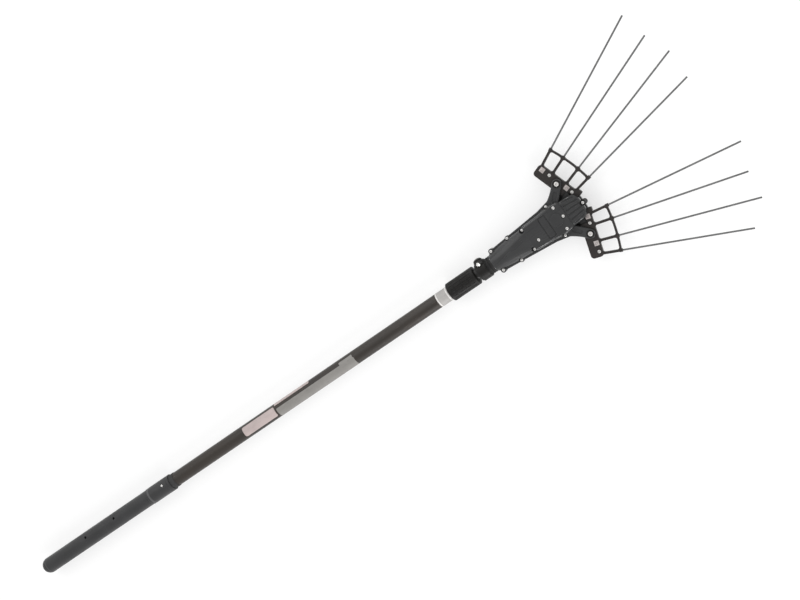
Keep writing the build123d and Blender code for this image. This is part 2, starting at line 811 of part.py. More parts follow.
# Lower shell: guard webs, front post, seat of the crank's bearing and blind screw holes
bearing_low = casing_wall - head_half_height
with BuildPart() as head_lower_shell:
    add(casing.part)
    split(bisect_by=level(0), keep=Keep.BOTTOM)
    with BuildSketch(level(-mouth_half)):
        for side in (1, -1):
            Polygon(*[(x, side * y) for x, y in guard_points], align=None)
    extrude(amount=-guard_thickness)
    with BuildSketch(level(-mouth_half)):
        with Locations((front_post_x, 0)):
            Circle(front_post_r)
    extrude(amount=2 * mouth_half)
    with BuildSketch(level(bearing_low)):
        Circle(crank_bearing_r + bearing_seat_wall)
        Circle(crank_bearing_r + press_gap, mode=Mode.SUBTRACT)
    extrude(amount=crank_bearing_height - 1)
    with BuildSketch(level(gear_low - slide_gap)):
        Circle(gear_outer_r + slide_gap)
    extrude(amount=gear_top - gear_low + 2 * slide_gap, mode=Mode.SUBTRACT)
    for x, y, _ in casing_screw_points:
        top = mouth_half if x == front_post_x else 0
        with BuildSketch(level(top)):
            with Locations((x, y)):
                Circle(casing_screw_r + press_gap)
        extrude(amount=-top - casing_screw_depth - slide_gap, mode=Mode.SUBTRACT)

with BuildPart() as housing_screws:
    for x, y, seat in casing_screw_points:
        with BuildSketch(level(seat)):
            with Locations((x, y)):
                Circle(casing_screw_head_r)
        extrude(amount=casing_screw_head)
        with BuildSketch(level(seat)):
            with Locations((x, y)):
                Circle(casing_screw_r)
        extrude(amount=-seat - casing_screw_depth)
    head_tops = [axis_z + seat + casing_screw_head for _, _, seat in casing_screw_points]
    rims = [e for e in edges() if any(abs(e.center().Z - top) < 0.001 for top in head_tops)]
    fillet(rims, casing_screw_head / 2)

with BuildPart() as cover_screws:
    for x, y, boss_low in cover_screw_points:
        with BuildSketch(level(cover_seat)):
            with Locations((x, y)):
                Circle(casing_screw_head_r)
        extrude(amount=casing_screw_head)
        with BuildSketch(level(cover_seat)):
            with Locations((x, y)):
                Circle(casing_screw_r)
        bite = min(cover_screw_bite, boss_low - crossbar_half_height - slide_gap)
        extrude(amount=boss_low - cover_seat - bite)
    fillet(edges().group_by(Axis.Z)[-1], casing_screw_head / 2)

# Clamp ring on the neck with its bolt and nut
clamp_turn = radians(clamp_tilt)
clamp_plane = Plane(
    origin=(neck_rear_x + clamp_offset, 0, axis_z),
    x_dir=(0, cos(clamp_turn), -sin(clamp_turn)),
    z_dir=(1, 0, 0),
)
bolt_center = clamp_plane.from_local_coords((0, clamp_bolt_height, clamp_length / 2))
bolt_plane = Plane(origin=bolt_center, x_dir=(1, 0, 0), z_dir=(0, cos(clamp_turn), -sin(clamp_turn)))
with BuildPart() as neck_clamp:
    with BuildSketch(clamp_plane):
        Circle(neck_r + press_gap + clamp_wall)
    extrude(amount=clamp_length)
    with BuildSketch(bolt_plane):
        with Locations((0, clamp_bolt_height - clamp_ear_r)):
            Rectangle(clamp_length, clamp_ear_r, align=(Align.CENTER, Align.MIN))
        fillet(vertices().group_by(Axis.Y)[0], clamp_ear_round)
    extrude(amount=clamp_ear_width / 2, both=True)
    with BuildSketch(clamp_plane):
        Circle(neck_r + press_gap)
        Rectangle(clamp_slit, 2 * clamp_ear_r, align=(Align.CENTER, Align.MIN))
    extrude(amount=clamp_length, mode=Mode.SUBTRACT)
    with BuildSketch(bolt_plane):
        Circle(clamp_bolt_r + press_gap)
    extrude(amount=clamp_ear_width, both=True, mode=Mode.SUBTRACT)

with BuildPart() as clamp_bolt:
    with BuildSketch(bolt_plane.offset(clamp_ear_width / 2)):
        Circle(clamp_bolt_head_r)
    extrude(amount=clamp_bolt_head)
    with BuildSketch(bolt_plane.offset(clamp_ear_width / 2)):
        Circle(clamp_bolt_r)
    extrude(amount=-clamp_ear_width - clamp_nut_height - 1)

with BuildPart() as clamp_nut:
    with BuildSketch(bolt_plane.offset(-clamp_ear_width / 2)):
        RegularPolygon(clamp_nut_width / 2, 6, major_radius=False)
        Circle(clamp_bolt_r + press_gap, mode=Mode.SUBTRACT)
    extrude(amount=-clamp_nut_height)

# Motor can, rotor and the bulkhead with the pinion's bearing
with BuildPart() as motor_can:
    with BuildSketch(cross_section(motor_rear_x)):
        Circle(motor_r)
    extrude(amount=motor_length)
    with BuildSketch(cross_section(motor_rear_x + motor_wall)):
        Circle(motor_r - motor_wall)
    extrude(amount=motor_length - 2 * motor_wall, mode=Mode.SUBTRACT)
    with BuildSketch(cross_section(motor_front_x)):
        Circle(shaft_r + pivot_gap)
    extrude(amount=-motor_wall, mode=Mode.SUBTRACT)

pinion_rear_x = -gear_outer_r - 0.5
pinion_front_x = pinion_rear_x + pinion_length
rotor_middle_x = (motor_rear_x + motor_front_x) / 2
with BuildPart() as motor_rotor:
    with BuildSketch(cross_section(rotor_middle_x)):
        Circle(rotor_d / 2)
    extrude(amount=rotor_length / 2, both=True)
    with BuildSketch(cross_section(motor_rear_x + motor_wall + slide_gap)):
        Circle(shaft_r)
    extrude(amount=pinion_front_x - motor_rear_x - motor_wall - slide_gap)

nose_end_x = bulkhead_rear_x + bulkhead_thickness + bulkhead_nose
pinion_bearing_x = nose_end_x - pinion_bearing_length - 1
bulkhead_half_height = head_half_height - casing_wall - press_gap
with BuildPart() as bearing_bulkhead:
    with BuildSketch(cross_section(bulkhead_rear_x)):
        Rectangle(2 * bulkhead_half_width, 2 * bulkhead_half_height)
    extrude(amount=bulkhead_thickness)
    with BuildSketch(cross_section(bulkhead_rear_x)):
        Circle(bulkhead_nose_r)
    extrude(amount=bulkhead_thickness + bulkhead_nose)
    with BuildSketch(cross_section(bulkhead_rear_x)):
        Circle(shaft_r + 2)
    extrude(amount=bulkhead_thickness + bulkhead_nose, mode=Mode.SUBTRACT)
    with BuildSketch(cross_section(pinion_bearing_x)):
        Circle(pinion_bearing_r + press_gap)
    extrude(amount=pinion_bearing_length + 1, mode=Mode.SUBTRACT)
    with BuildSketch(level(bulkhead_half_height)):
        with Locations(bulkhead_screw):
            Circle(casing_screw_r + press_gap)
    extrude(amount=-cover_screw_bite - slide_gap, mode=Mode.SUBTRACT)

pinion_bearing = ring(pinion_bearing_x, pinion_bearing_length, pinion_bearing_r, shaft_r + pivot_gap)

# Pinion: straight teeth on the motor shaft, one of them pointing down into the gear
tooth_pitch = 2 * pi * gear_pitch_r / gear_teeth
pinion_tip_r = pinion_pitch_r + tooth_addendum
pinion_root_r = pinion_pitch_r - tooth_dedendum
with BuildPart() as drive_pinion:
    with BuildSketch(cross_section(pinion_rear_x)):
        Circle(pinion_root_r)
        with PolarLocations(0, pinion_teeth, start_angle=-90):
            Polygon(
                (pinion_root_r - 1, tooth_pitch * tooth_share / 2),
                (pinion_pitch_r, tooth_pitch * tooth_share / 2),
                (pinion_tip_r, tooth_pitch * tooth_tip_share / 2),
                (pinion_tip_r, -tooth_pitch * tooth_tip_share / 2),
                (pinion_pitch_r, -tooth_pitch * tooth_share / 2),
                (pinion_root_r - 1, -tooth_pitch * tooth_share / 2),
                align=None,
            )
        Circle(shaft_r + press_gap, mode=Mode.SUBTRACT)
    extrude(amount=pinion_length)

# Crank gear with face teeth, a gap between two of them under the pinion
with BuildPart() as crank_gear:
    with BuildSketch(level(gear_low)):
        Circle(gear_outer_r)
    extrude(amount=gear_web)
    with BuildSketch(level(gear_low)):
        Circle(crank_shaft_r)
    extrude(amount=-crank_shaft_length)
    for tooth in range(gear_teeth):
        turn = radians((tooth + 0.5) * 360 / gear_teeth)
        tooth_plane = Plane(
            origin=((gear_outer_r - gear_face) * cos(turn), (gear_outer_r - gear_face) * sin(turn), axis_z),
            x_dir=(-sin(turn), cos(turn), 0),
            z_dir=(cos(turn), sin(turn), 0),
        )
        with BuildSketch(tooth_plane):
            Polygon(
                (-tooth_pitch * tooth_share / 2, gear_root - 1),
                (-tooth_pitch * tooth_share / 2, -pinion_pitch_r),
                (-tooth_pitch * tooth_tip_share / 2, gear_top),
                (tooth_pitch * tooth_tip_share / 2, gear_top),
                (tooth_pitch * tooth_share / 2, -pinion_pitch_r),
                (tooth_pitch * tooth_share / 2, gear_root - 1),
                align=None,
            )
    extrude(amount=gear_face)
    with BuildSketch(level(gear_low)):
        with Locations((0, crank_r)):
            Circle(crank_pin_r + press_gap)
    extrude(amount=gear_web, mode=Mode.SUBTRACT)

with BuildPart() as crank_pin:
    with BuildSketch(level(gear_low)):
        with Locations((0, crank_r)):
            Circle(crank_pin_r)
    extrude(amount=crank_pin_top - gear_low)

with BuildPart() as crank_bearing:
    with BuildSketch(level(bearing_low)):
        Circle(crank_bearing_r)
        Circle(crank_shaft_r + pivot_gap, mode=Mode.SUBTRACT)
    extrude(amount=crank_bearing_height)

# Crosshead: a tongue with the crank's slot, and a forked crossbar with one slot for each drive pin
mean_rest = (comb_rest[1] + comb_rest[-1]) / 2
drive_pin_spots = [
    (
        pivot_x + drive_pin_arm * sin(radians(comb_rest[side] - mean_rest)),
        side * (pivot_y - drive_pin_arm * cos(radians(comb_rest[side] - mean_rest))),
    )
    for side in (1, -1)
]
crank_slot_r = crank_pin_r + crank_slot_gap
tongue_rear_x = -crank_slot_r - tongue_rear_wall
crossbar_x = pivot_x - crossbar_length / 2
with BuildPart() as crosshead:
    with BuildSketch(level(-tongue_half_height)):
        with Locations((tongue_rear_x, 0)):
            Rectangle(
                crosshead_block_x - tongue_rear_x,
                2 * tongue_half_width - 2 * slide_gap,
                align=(Align.MIN, Align.CENTER),
            )
        SlotCenterToCenter(2 * crank_r, 2 * crank_slot_r, rotation=90, mode=Mode.SUBTRACT)
    extrude(amount=2 * tongue_half_height)
    with BuildSketch(level(-crossbar_half_height)):
        with Locations((crosshead_block_x, 0)):
            Rectangle(
                crossbar_x - crosshead_block_x + 2,
                2 * crosshead_block_half_width,
                align=(Align.MIN, Align.CENTER),
            )
        with Locations((pivot_x, 0)):
            RectangleRounded(crossbar_length, 2 * crossbar_half_width, 4)
    extrude(amount=2 * crossbar_half_height)
    with BuildSketch(level(-fork_half_gap)):
        with Locations((pivot_x, 0)):
            Rectangle(3 * crossbar_length, 4 * crossbar_half_width)
        with Locations((crossbar_x - crossbar_length, 0)):
            Rectangle(2 * crossbar_length, 4 * crossbar_half_width, mode=Mode.SUBTRACT)
        Rectangle(
            4 * crossbar_length, crossbar_length / 2, align=(Align.MIN, Align.CENTER), mode=Mode.SUBTRACT
        )
    extrude(amount=2 * fork_half_gap, mode=Mode.SUBTRACT)
    with BuildSketch(level(-crossbar_half_height)):
        with Locations(*drive_pin_spots):
            SlotCenterToCenter(2 * drive_slot_travel, 2 * (drive_pin_r + drive_slot_gap), rotation=90)
    extrude(amount=2 * crossbar_half_height, mode=Mode.SUBTRACT)

# Guide rails with grooves for the tongue's edges, and a shoe over the crosshead
with BuildPart() as guide_rails:
    for side in (1, -1):
        with BuildSketch(level(rail_bottom)):
            with Locations((0, side * (rail_inner_y + rail_outer_y) / 2)):
                Rectangle(rail_length, rail_outer_y - rail_inner_y)
            with Locations((rail_screw[0], side * rail_screw[1])):
                Circle(cover_boss_r)
        extrude(amount=rail_top - rail_bottom)
    with BuildSketch(level(-tongue_half_height - slide_gap)):
        Rectangle(2 * rail_length, 2 * tongue_half_width)
    extrude(amount=2 * (tongue_half_height + slide_gap), mode=Mode.SUBTRACT)
    with BuildSketch(level(rail_bottom)):
        with Locations(rail_screw, (rail_screw[0], -rail_screw[1])):
            Circle(casing_screw_r + press_gap)
    extrude(amount=rail_top - rail_bottom, mode=Mode.SUBTRACT)

with BuildPart() as guide_shoe:
    with BuildSketch(level(crossbar_half_height + slide_gap)):
        with Locations((shoe_rear_x, 0)):
            Rectangle(shoe_length, shoe_width, align=(Align.MIN, Align.CENTER))
        with Locations(shoe_screw):
            Circle(casing_screw_r + press_gap, mode=Mode.SUBTRACT)
    extrude(amount=shoe_top - crossbar_half_height - slide_gap)

# Pivot bolts and nuts
pivot_points = [(pivot_x, pivot_y), (pivot_x, -pivot_y)]
pivot_seat = horn_top - pivot_sink
with BuildPart() as pivot_bolts:
    with BuildSketch(level(pivot_seat)):
        with Locations(*pivot_points):
            Circle(pivot_head_r)
    extrude(amount=pivot_head)
    fillet(edges().group_by(Axis.Z)[-1], 1)
    with BuildSketch(level(pivot_seat)):
        with Locations(*pivot_points):
            Circle(pivot_bolt_r)
    extrude(amount=-2 * pivot_seat - pivot_head)

with BuildPart() as pivot_nuts:
    with BuildSketch(level(-pivot_seat)):
        with Locations(*pivot_points):
            RegularPolygon(pivot_sink_r - slide_gap, 6)
            Circle(pivot_bolt_r + press_gap, mode=Mode.SUBTRACT)
    extrude(amount=-pivot_head)


def comb_plane(side):
    """Mid-plane of one comb at rest. The comb on -Y is the same comb turned over."""
    turn = radians(comb_rest[side])
    return Plane(
        origin=(pivot_x, side * pivot_y, axis_z),
        x_dir=(cos(turn), side * sin(turn), 0),
        z_dir=(0, 0, side),
    )


def rod_plane(plane, u, v, angle):
    """Plane across a rod at (u, v) of the comb, facing along the rod."""
    start = plane.from_local_coords((u, v, 0))
    ahead = plane.from_local_coords((u + cos(radians(angle)), v + sin(radians(angle)), 0))
    return Plane(origin=start, z_dir=ahead - start)


def rod_lines(side):
    """Rods of one comb from the outside in: v at the comb's front edge, angle, start and length."""
    return list(zip(rod_roots, rod_angles, rod_starts, rod_lengths[side]))


def rod_v(root_v, angle, u):
    """Distance v of a rod's axis at u."""
    return root_v + (u - comb_front_u) * tan(radians(angle))


def frame_tip(number, edge):
    """Corner of the comb's frame at its first or last rod."""
    return frame_tip_u, rod_v(rod_roots[number], rod_angles[number], frame_tip_u) + edge * arm_width / 2


def bar_line(shift):
    """Curve of the comb's front bar, moved along u."""
    (low_u, low_v), (high_u, high_v) = frame_tip(-1, -1), frame_tip(0, 1)
    middle = (bar_middle_u + bar_width / 2 + shift, (low_v + high_v) / 2)
    return ThreePointArc((low_u + shift, low_v), middle, (high_u + shift, high_v))


def window(number, side):
    """Window of the comb between one rod and the next."""
    corners = []
    for rod, edge in ((number + 1, 1), (number, -1)):
        root_v, angle, _, _ = rod_lines(side)[rod]
        ends = [(u, rod_v(root_v, angle, u) + edge * arm_width / 2) for u in (comb_front_u, 2 * bar_middle_u)]
        corners.extend(ends if edge > 0 else reversed(ends))
    with BuildSketch() as opening:
        with BuildLine():
            bar = bar_line(-bar_width)
            Polyline(bar @ 1, (0, (bar @ 1).Y), (0, (bar @ 0).Y), bar @ 0)
        make_face()
        Polygon(*corners, align=None, mode=Mode.INTERSECT)
        fillet(vertices(), window_corner_r)
    return opening.sketch_local


def rocker_outline(plane, grow):
    """Outline of the rocker arm: pivot eye, pin eye and a lug for one comb bolt."""
    pin = (-drive_pin_arm * sin(radians(mean_rest)), -drive_pin_arm * cos(radians(mean_rest)))
    lug = (fastener_u, fastener_vs[2])
    with BuildSketch(plane) as outline:
        for reach, eye_r in ((pin, rocker_pin_eye_r), (lug, rocker_lug_r)):
            with BuildLine():
                Line((0, 0), reach)
            trace(line_width=2 * eye_r - 2 + 2 * grow)
            with Locations(reach):
                Circle(eye_r + grow)
        Circle(rocker_eye_r + grow)
    return outline.sketch, pin, lug


def make_comb(side):
    """All pieces of one comb: two clamped halves, rods, bolts, nuts, rocker arm, drive pin and bush."""
    plane = comb_plane(side)
    bush_r = pivot_bolt_r + pivot_gap + bush_wall
    nut_vs = [fastener_vs[0], fastener_vs[2]]
    head_vs = [fastener_vs[1], fastener_vs[3]]
    rocker_shape, pin_spot, lug_spot = rocker_outline(plane, 0)
    rocker_pocket = rocker_outline(plane, press_gap)[0]

    with BuildPart() as frame:
        with BuildSketch(plane):
            with BuildLine():
                front = bar_line(0)
                Polyline(
                    front @ 1,
                    (comb_front_u, rod_roots[0] + arm_width / 2),
                    (0, rod_roots[0]),
                    (0, rod_roots[-1]),
                    (comb_front_u, rod_roots[-1] - arm_width / 2),
                    front @ 0,
                )
            make_face()
            for number in range(len(rod_roots) - 1):
                add(window(number, side), mode=Mode.SUBTRACT)
        extrude(amount=arm_half, both=True)
        fillet(edges().group_by(Axis.Z)[-1], arm_round)
        fillet(edges().group_by(Axis.Z)[0], arm_round)

    with BuildPart() as form:
        with BuildSketch(plane):
            with Locations(((comb_rear_u + comb_front_u) / 2, 0)):
                RectangleRounded(comb_front_u - comb_rear_u, 2 * comb_half_span, comb_corner_r)
            with Locations((0, comb_lobe_width / 2 - comb_half_span)):
                RectangleRounded(2 * comb_lobe_u, comb_lobe_width, comb_corner_r / 3)
            with Locations((comb_notch_u, comb_notch_v)):
                Rectangle(
                    comb_half_span, comb_half_span, align=(Align.MAX, Align.MAX), mode=Mode.SUBTRACT
                )
            with Locations((comb_rear_u, 0)):
                Rectangle(
                    comb_half_span, 3 * comb_half_span, align=(Align.MAX, Align.CENTER), mode=Mode.SUBTRACT
                )
        extrude(amount=comb_half, both=True)
        fillet(edges().group_by(Axis.Z)[-1], comb_round)
        fillet(edges().group_by(Axis.Z)[0], comb_round)
        add(frame.part)
        for root_v, angle, _, _ in rod_lines(side):
            tip_u = bar_middle_u - (bar_middle_u - bar_end_u) * (root_v / comb_half_span) ** 2
            with BuildSketch(rod_plane(plane, tip_u, rod_v(root_v, angle, tip_u), angle)):
                Circle(knob_r)
            extrude(amount=knob_length / 2, both=True)
        for root_v, angle, start_u, length in rod_lines(side):
            with BuildSketch(rod_plane(plane, start_u, rod_v(root_v, angle, start_u), angle)):
                Circle(rod_r + press_gap)
            extrude(amount=length, mode=Mode.SUBTRACT)
        extrude(rocker_pocket, amount=rocker_half + press_gap, both=True, mode=Mode.SUBTRACT)
        with BuildSketch(plane):
            Circle(bush_r + press_gap)
            with Locations(*[(fastener_u, v) for v in fastener_vs]):
                Circle(comb_bolt_r + press_gap)
        extrude(amount=2 * comb_half, both=True, mode=Mode.SUBTRACT)
        for way, flat_vs, round_vs in ((1, nut_vs, head_vs), (-1, head_vs, nut_vs)):
            with BuildSketch(plane.offset(way * (comb_half - comb_nut_sink))):
                with Locations(*[(fastener_u, v) for v in flat_vs]):
                    Rectangle(comb_nut_width + 2 * press_gap, comb_nut_width + 2 * press_gap)
            extrude(amount=way * comb_half, mode=Mode.SUBTRACT)
            with BuildSketch(plane.offset(way * (comb_half - comb_bolt_sink))):
                with Locations(*[(fastener_u, v) for v in round_vs]):
                    Circle(comb_bolt_head_r + slide_gap)
            extrude(amount=way * comb_half, mode=Mode.SUBTRACT)

    with BuildPart() as top_half:
        add(form.part)
        split(bisect_by=level(0), keep=Keep.TOP)

    with BuildPart() as bottom_half:
        add(form.part)
        split(bisect_by=level(0), keep=Keep.BOTTOM)

    with BuildPart() as bolts:
        for way, vs in ((1, head_vs), (-1, nut_vs)):
            seat = plane.offset(way * (comb_half - comb_bolt_sink))
            with BuildSketch(seat):
                with Locations(*[(fastener_u, v) for v in vs]):
                    Circle(comb_bolt_head_r)
            extrude(amount=way * comb_bolt_head)
            with BuildSketch(seat):
                with Locations(*[(fastener_u, v) for v in vs]):
                    Circle(comb_bolt_r)
            extrude(amount=-way * (2 * comb_half - comb_bolt_sink - comb_nut_sink + comb_nut_height))

    with BuildPart() as nuts:
        for way, vs in ((1, nut_vs), (-1, head_vs)):
            with BuildSketch(plane.offset(way * (comb_half - comb_nut_sink))):
                with Locations(*[(fastener_u, v) for v in vs]):
                    Rectangle(comb_nut_width, comb_nut_width)
                    Circle(comb_bolt_r + press_gap, mode=Mode.SUBTRACT)
            extrude(amount=way * comb_nut_height)

    with BuildPart() as rocker:
        extrude(rocker_shape, amount=rocker_half, both=True)
        with BuildSketch(plane):
            Circle(bush_r + press_gap)
            with Locations(pin_spot):
                Circle(drive_pin_r + press_gap)
            with Locations(lug_spot):
                Circle(comb_bolt_r + press_gap)
        extrude(amount=rocker_half, both=True, mode=Mode.SUBTRACT)

    with BuildPart() as pin:
        with BuildSketch(plane):
            with Locations(pin_spot):
                Circle(drive_pin_r)
        extrude(amount=crossbar_half_height, both=True)

    with BuildPart() as bush:
        with BuildSketch(plane):
            Circle(bush_r)
            Circle(pivot_bolt_r + pivot_gap, mode=Mode.SUBTRACT)
        extrude(amount=bush_half, both=True)

    pieces = {
        "comb_top_half": top_half.part,
        "comb_bottom_half": bottom_half.part,
        "comb_bolts": bolts.part,
        "comb_nuts": nuts.part,
        "rocker_arm": rocker.part,
        "drive_pin": pin.part,
        "pivot_bush": bush.part,
    }
    for number, (root_v, angle, start_u, length) in enumerate(rod_lines(side), start=1):
        with BuildPart() as rod:
            with BuildSketch(rod_plane(plane, start_u, rod_v(root_v, angle, start_u), angle)):
                Circle(rod_r)
            extrude(amount=length)
            fillet(edges().filter_by(GeomType.CIRCLE).sort_by(Axis.X)[-1], rod_round)
        pieces[f"rod_{number}"] = rod.part
    return pieces


# Every piece under its node name
nodes = {
    "outer_tube": outer_tube,
    "grip_upper_shell": grip_upper_shell.part,
    "grip_lower_shell": grip_lower_shell.part,
    "grip_screws": grip_screws.part,
    "butt_cap": butt_cap.part,
    "inlet_socket": inlet_socket.part,
    "inlet_contacts": inlet_contacts.part,
    "grip_collar": grip_collar.part,
    "collar_screw": collar_screw.part,
    "collar_seal": collar_seal,
    "control_board": control_board.part,
    "switch_body": switch_body.part,
    "switch_button": switch_button.part,
    "lock_body": lock_body,
    "lock_collet": lock_collet.part,
    "lock_sleeve": lock_sleeve.part,
    "inner_tube": inner_tube,
    "tube_bush": tube_bush,
    "head_upper_shell": head_upper_shell.part,
    "head_lower_shell": head_lower_shell.part,
    "housing_screws": housing_screws.part,
    "cover_screws": cover_screws.part,
    "neck_clamp": neck_clamp.part,
    "clamp_bolt": clamp_bolt.part,
    "clamp_nut": clamp_nut.part,
    "motor_can": motor_can.part,
    "motor_rotor": motor_rotor.part,
    "bearing_bulkhead": bearing_bulkhead.part,
    "pinion_bearing": pinion_bearing,
    "drive_pinion": drive_pinion.part,
    "crank_gear": crank_gear.part,
    "crank_pin": crank_pin.part,
    "crank_bearing": crank_bearing.part,
    "crosshead": crosshead.part,
    "guide_rails": guide_rails.part,
    "guide_shoe": guide_shoe.part,
    "pivot_bolts": pivot_bolts.part,
    "pivot_nuts": pivot_nuts.part,
}
for side, side_name in ((1, "left"), (-1, "right")):
    for piece, shape in make_comb(side).items():
        nodes[f"{side_name}_{piece}"] = shape

for node, shape in nodes.items():
    shape.label = node
    export_step(shape, f"parts/{node}.step")
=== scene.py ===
"""Looks of the electric olive harvester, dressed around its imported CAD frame."""

import logging
import math
from contextlib import contextmanager
from dataclasses import dataclass
from enum import Enum
from functools import cache
from typing import Callable, ClassVar, Iterator, Sequence

import bpy
from mathutils import Matrix, Vector

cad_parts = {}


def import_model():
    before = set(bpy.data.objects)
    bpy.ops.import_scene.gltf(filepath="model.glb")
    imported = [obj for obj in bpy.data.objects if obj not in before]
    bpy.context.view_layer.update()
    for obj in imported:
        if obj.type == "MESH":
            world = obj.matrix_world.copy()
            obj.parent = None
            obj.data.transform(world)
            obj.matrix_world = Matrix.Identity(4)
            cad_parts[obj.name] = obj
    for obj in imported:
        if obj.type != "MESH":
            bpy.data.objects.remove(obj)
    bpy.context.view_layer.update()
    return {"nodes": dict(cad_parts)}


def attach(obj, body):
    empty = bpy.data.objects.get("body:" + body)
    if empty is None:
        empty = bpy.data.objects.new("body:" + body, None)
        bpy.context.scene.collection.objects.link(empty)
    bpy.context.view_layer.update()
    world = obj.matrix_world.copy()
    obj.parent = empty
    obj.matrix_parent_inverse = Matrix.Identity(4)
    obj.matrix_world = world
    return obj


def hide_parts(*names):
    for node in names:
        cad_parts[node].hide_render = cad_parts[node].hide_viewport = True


log = logging.getLogger("harvester")

Tone = tuple[float, float, float]
Colour = tuple[float, float, float, float]
Point = tuple[float, float, float]
Piece = bpy.types.Object
Socket = bpy.types.NodeSocket
Feed = float | Sequence[float] | Socket
Test = Callable[[Vector, Vector], bool]

AXIS_Z = 0.031  # height of the pole's axis
PIVOT = (0.045, 0.0676)  # X of both comb pivots, and their distance from the middle
UP = (0.0, 0.0, 1.0)
DOWN = (0.0, 0.0, -1.0)
AHEAD = (1.0, 0.0, 0.0)
EVEN = (1.0, 1.0, 1.0)
STEEP = 0.95  # least share of a direction along Z that counts as upright


def linear(tone: Tone, gain: float = 1.0, lift: float = 0.0) -> Colour:
    """Turn a display tone into the linear colour that a shader socket takes.

    Args:
        tone: Red, green and blue as seen on a display, from 0 to 1.
        gain: Factor on the tone.
        lift: What is added to it then.

    Returns:
        Linear red, green, blue and an alpha of 1.
    """
    seen = [min(1.0, gain * c + lift) for c in tone]
    channels = [c / 12.92 if c <= 0.04045 else ((c + 0.055) / 1.055) ** 2.4 for c in seen]
    return (*channels, 1.0)


class Side(Enum):
    """Side of the tool, with its sign along Y and the rest angle of its comb in degrees."""

    LEFT = (1, 19.1)
    RIGHT = (-1, 16.4)

    def __init__(self, sign: int, rest: float) -> None:
        """Keep the side's numbers."""
        self.sign, self.rest = sign, rest

    @property
    def word(self) -> str:
        """The side as the names in the CAD frame spell it."""
        return self.name.lower()


@dataclass(frozen=True)
class Pattern:
    """Cloudy pattern of a finish.

    Attributes:
        size: Size of one cloud in metres.
        detail: Number of finer layers.
        low: Noise value at which the pattern starts.
        high: Noise value at which it is full.
        stretch: Scale of the coordinates, small along X for streaks.
    """

    size: float
    detail: float
    low: float
    high: float
    stretch: Point = EVEN


class Nodes:
    """Node tree with short ways to add and link its nodes."""

    def __init__(self, tree: bpy.types.NodeTree) -> None:
        """Keep the tree to work on."""
        self.tree = tree

    def feed(self, socket: Socket, value: Feed) -> None:
        """Give an input socket a value, or link an output socket to it.

        Args:
            socket: The input socket.
            value: A number, a colour or an output socket.
        """
        if isinstance(value, bpy.types.NodeSocket):
            self.tree.links.new(value, socket)
        else:
            socket.default_value = value

    def add(self, kind: str, inputs: dict[str | int, Feed], **settings: object) -> bpy.types.Node:
        """Add a node, set it up and feed its inputs.

        Args:
            kind: Blender's name of the node type, without the ShaderNode in front.
            inputs: Input sockets by name or number, and what each is fed with.
            settings: The node's own properties.

        Returns:
            The new node.
        """
        node = self.tree.nodes.new("ShaderNode" + kind)
        for name, value in settings.items():
            setattr(node, name, value)
        for key, value in inputs.items():
            self.feed(node.inputs[key], value)
        return node

    def math(self, operation: str, first: Feed, second: Feed = 0.0) -> Socket:
        """One step of arithmetic, by Blender's name of the operation."""
        return self.add("Math", {0: first, 1: second}, operation=operation).outputs[0]

    def ramp(
        self, value: Feed, low: float, high: float, start: float = 0.0, end: float = 1.0
    ) -> Socket:
        """Map a value from one range to another, clamped.

        Args:
            value: The value to map.
            low: Value that gives start.
            high: Value that gives end.
            start: Result at low.
            end: Result at high.

        Returns:
            The mapped value.
        """
        inputs = {"Value": value, "From Min": low, "From Max": high, "To Min": start, "To Max": end}
        return self.add("MapRange", inputs).outputs["Result"]


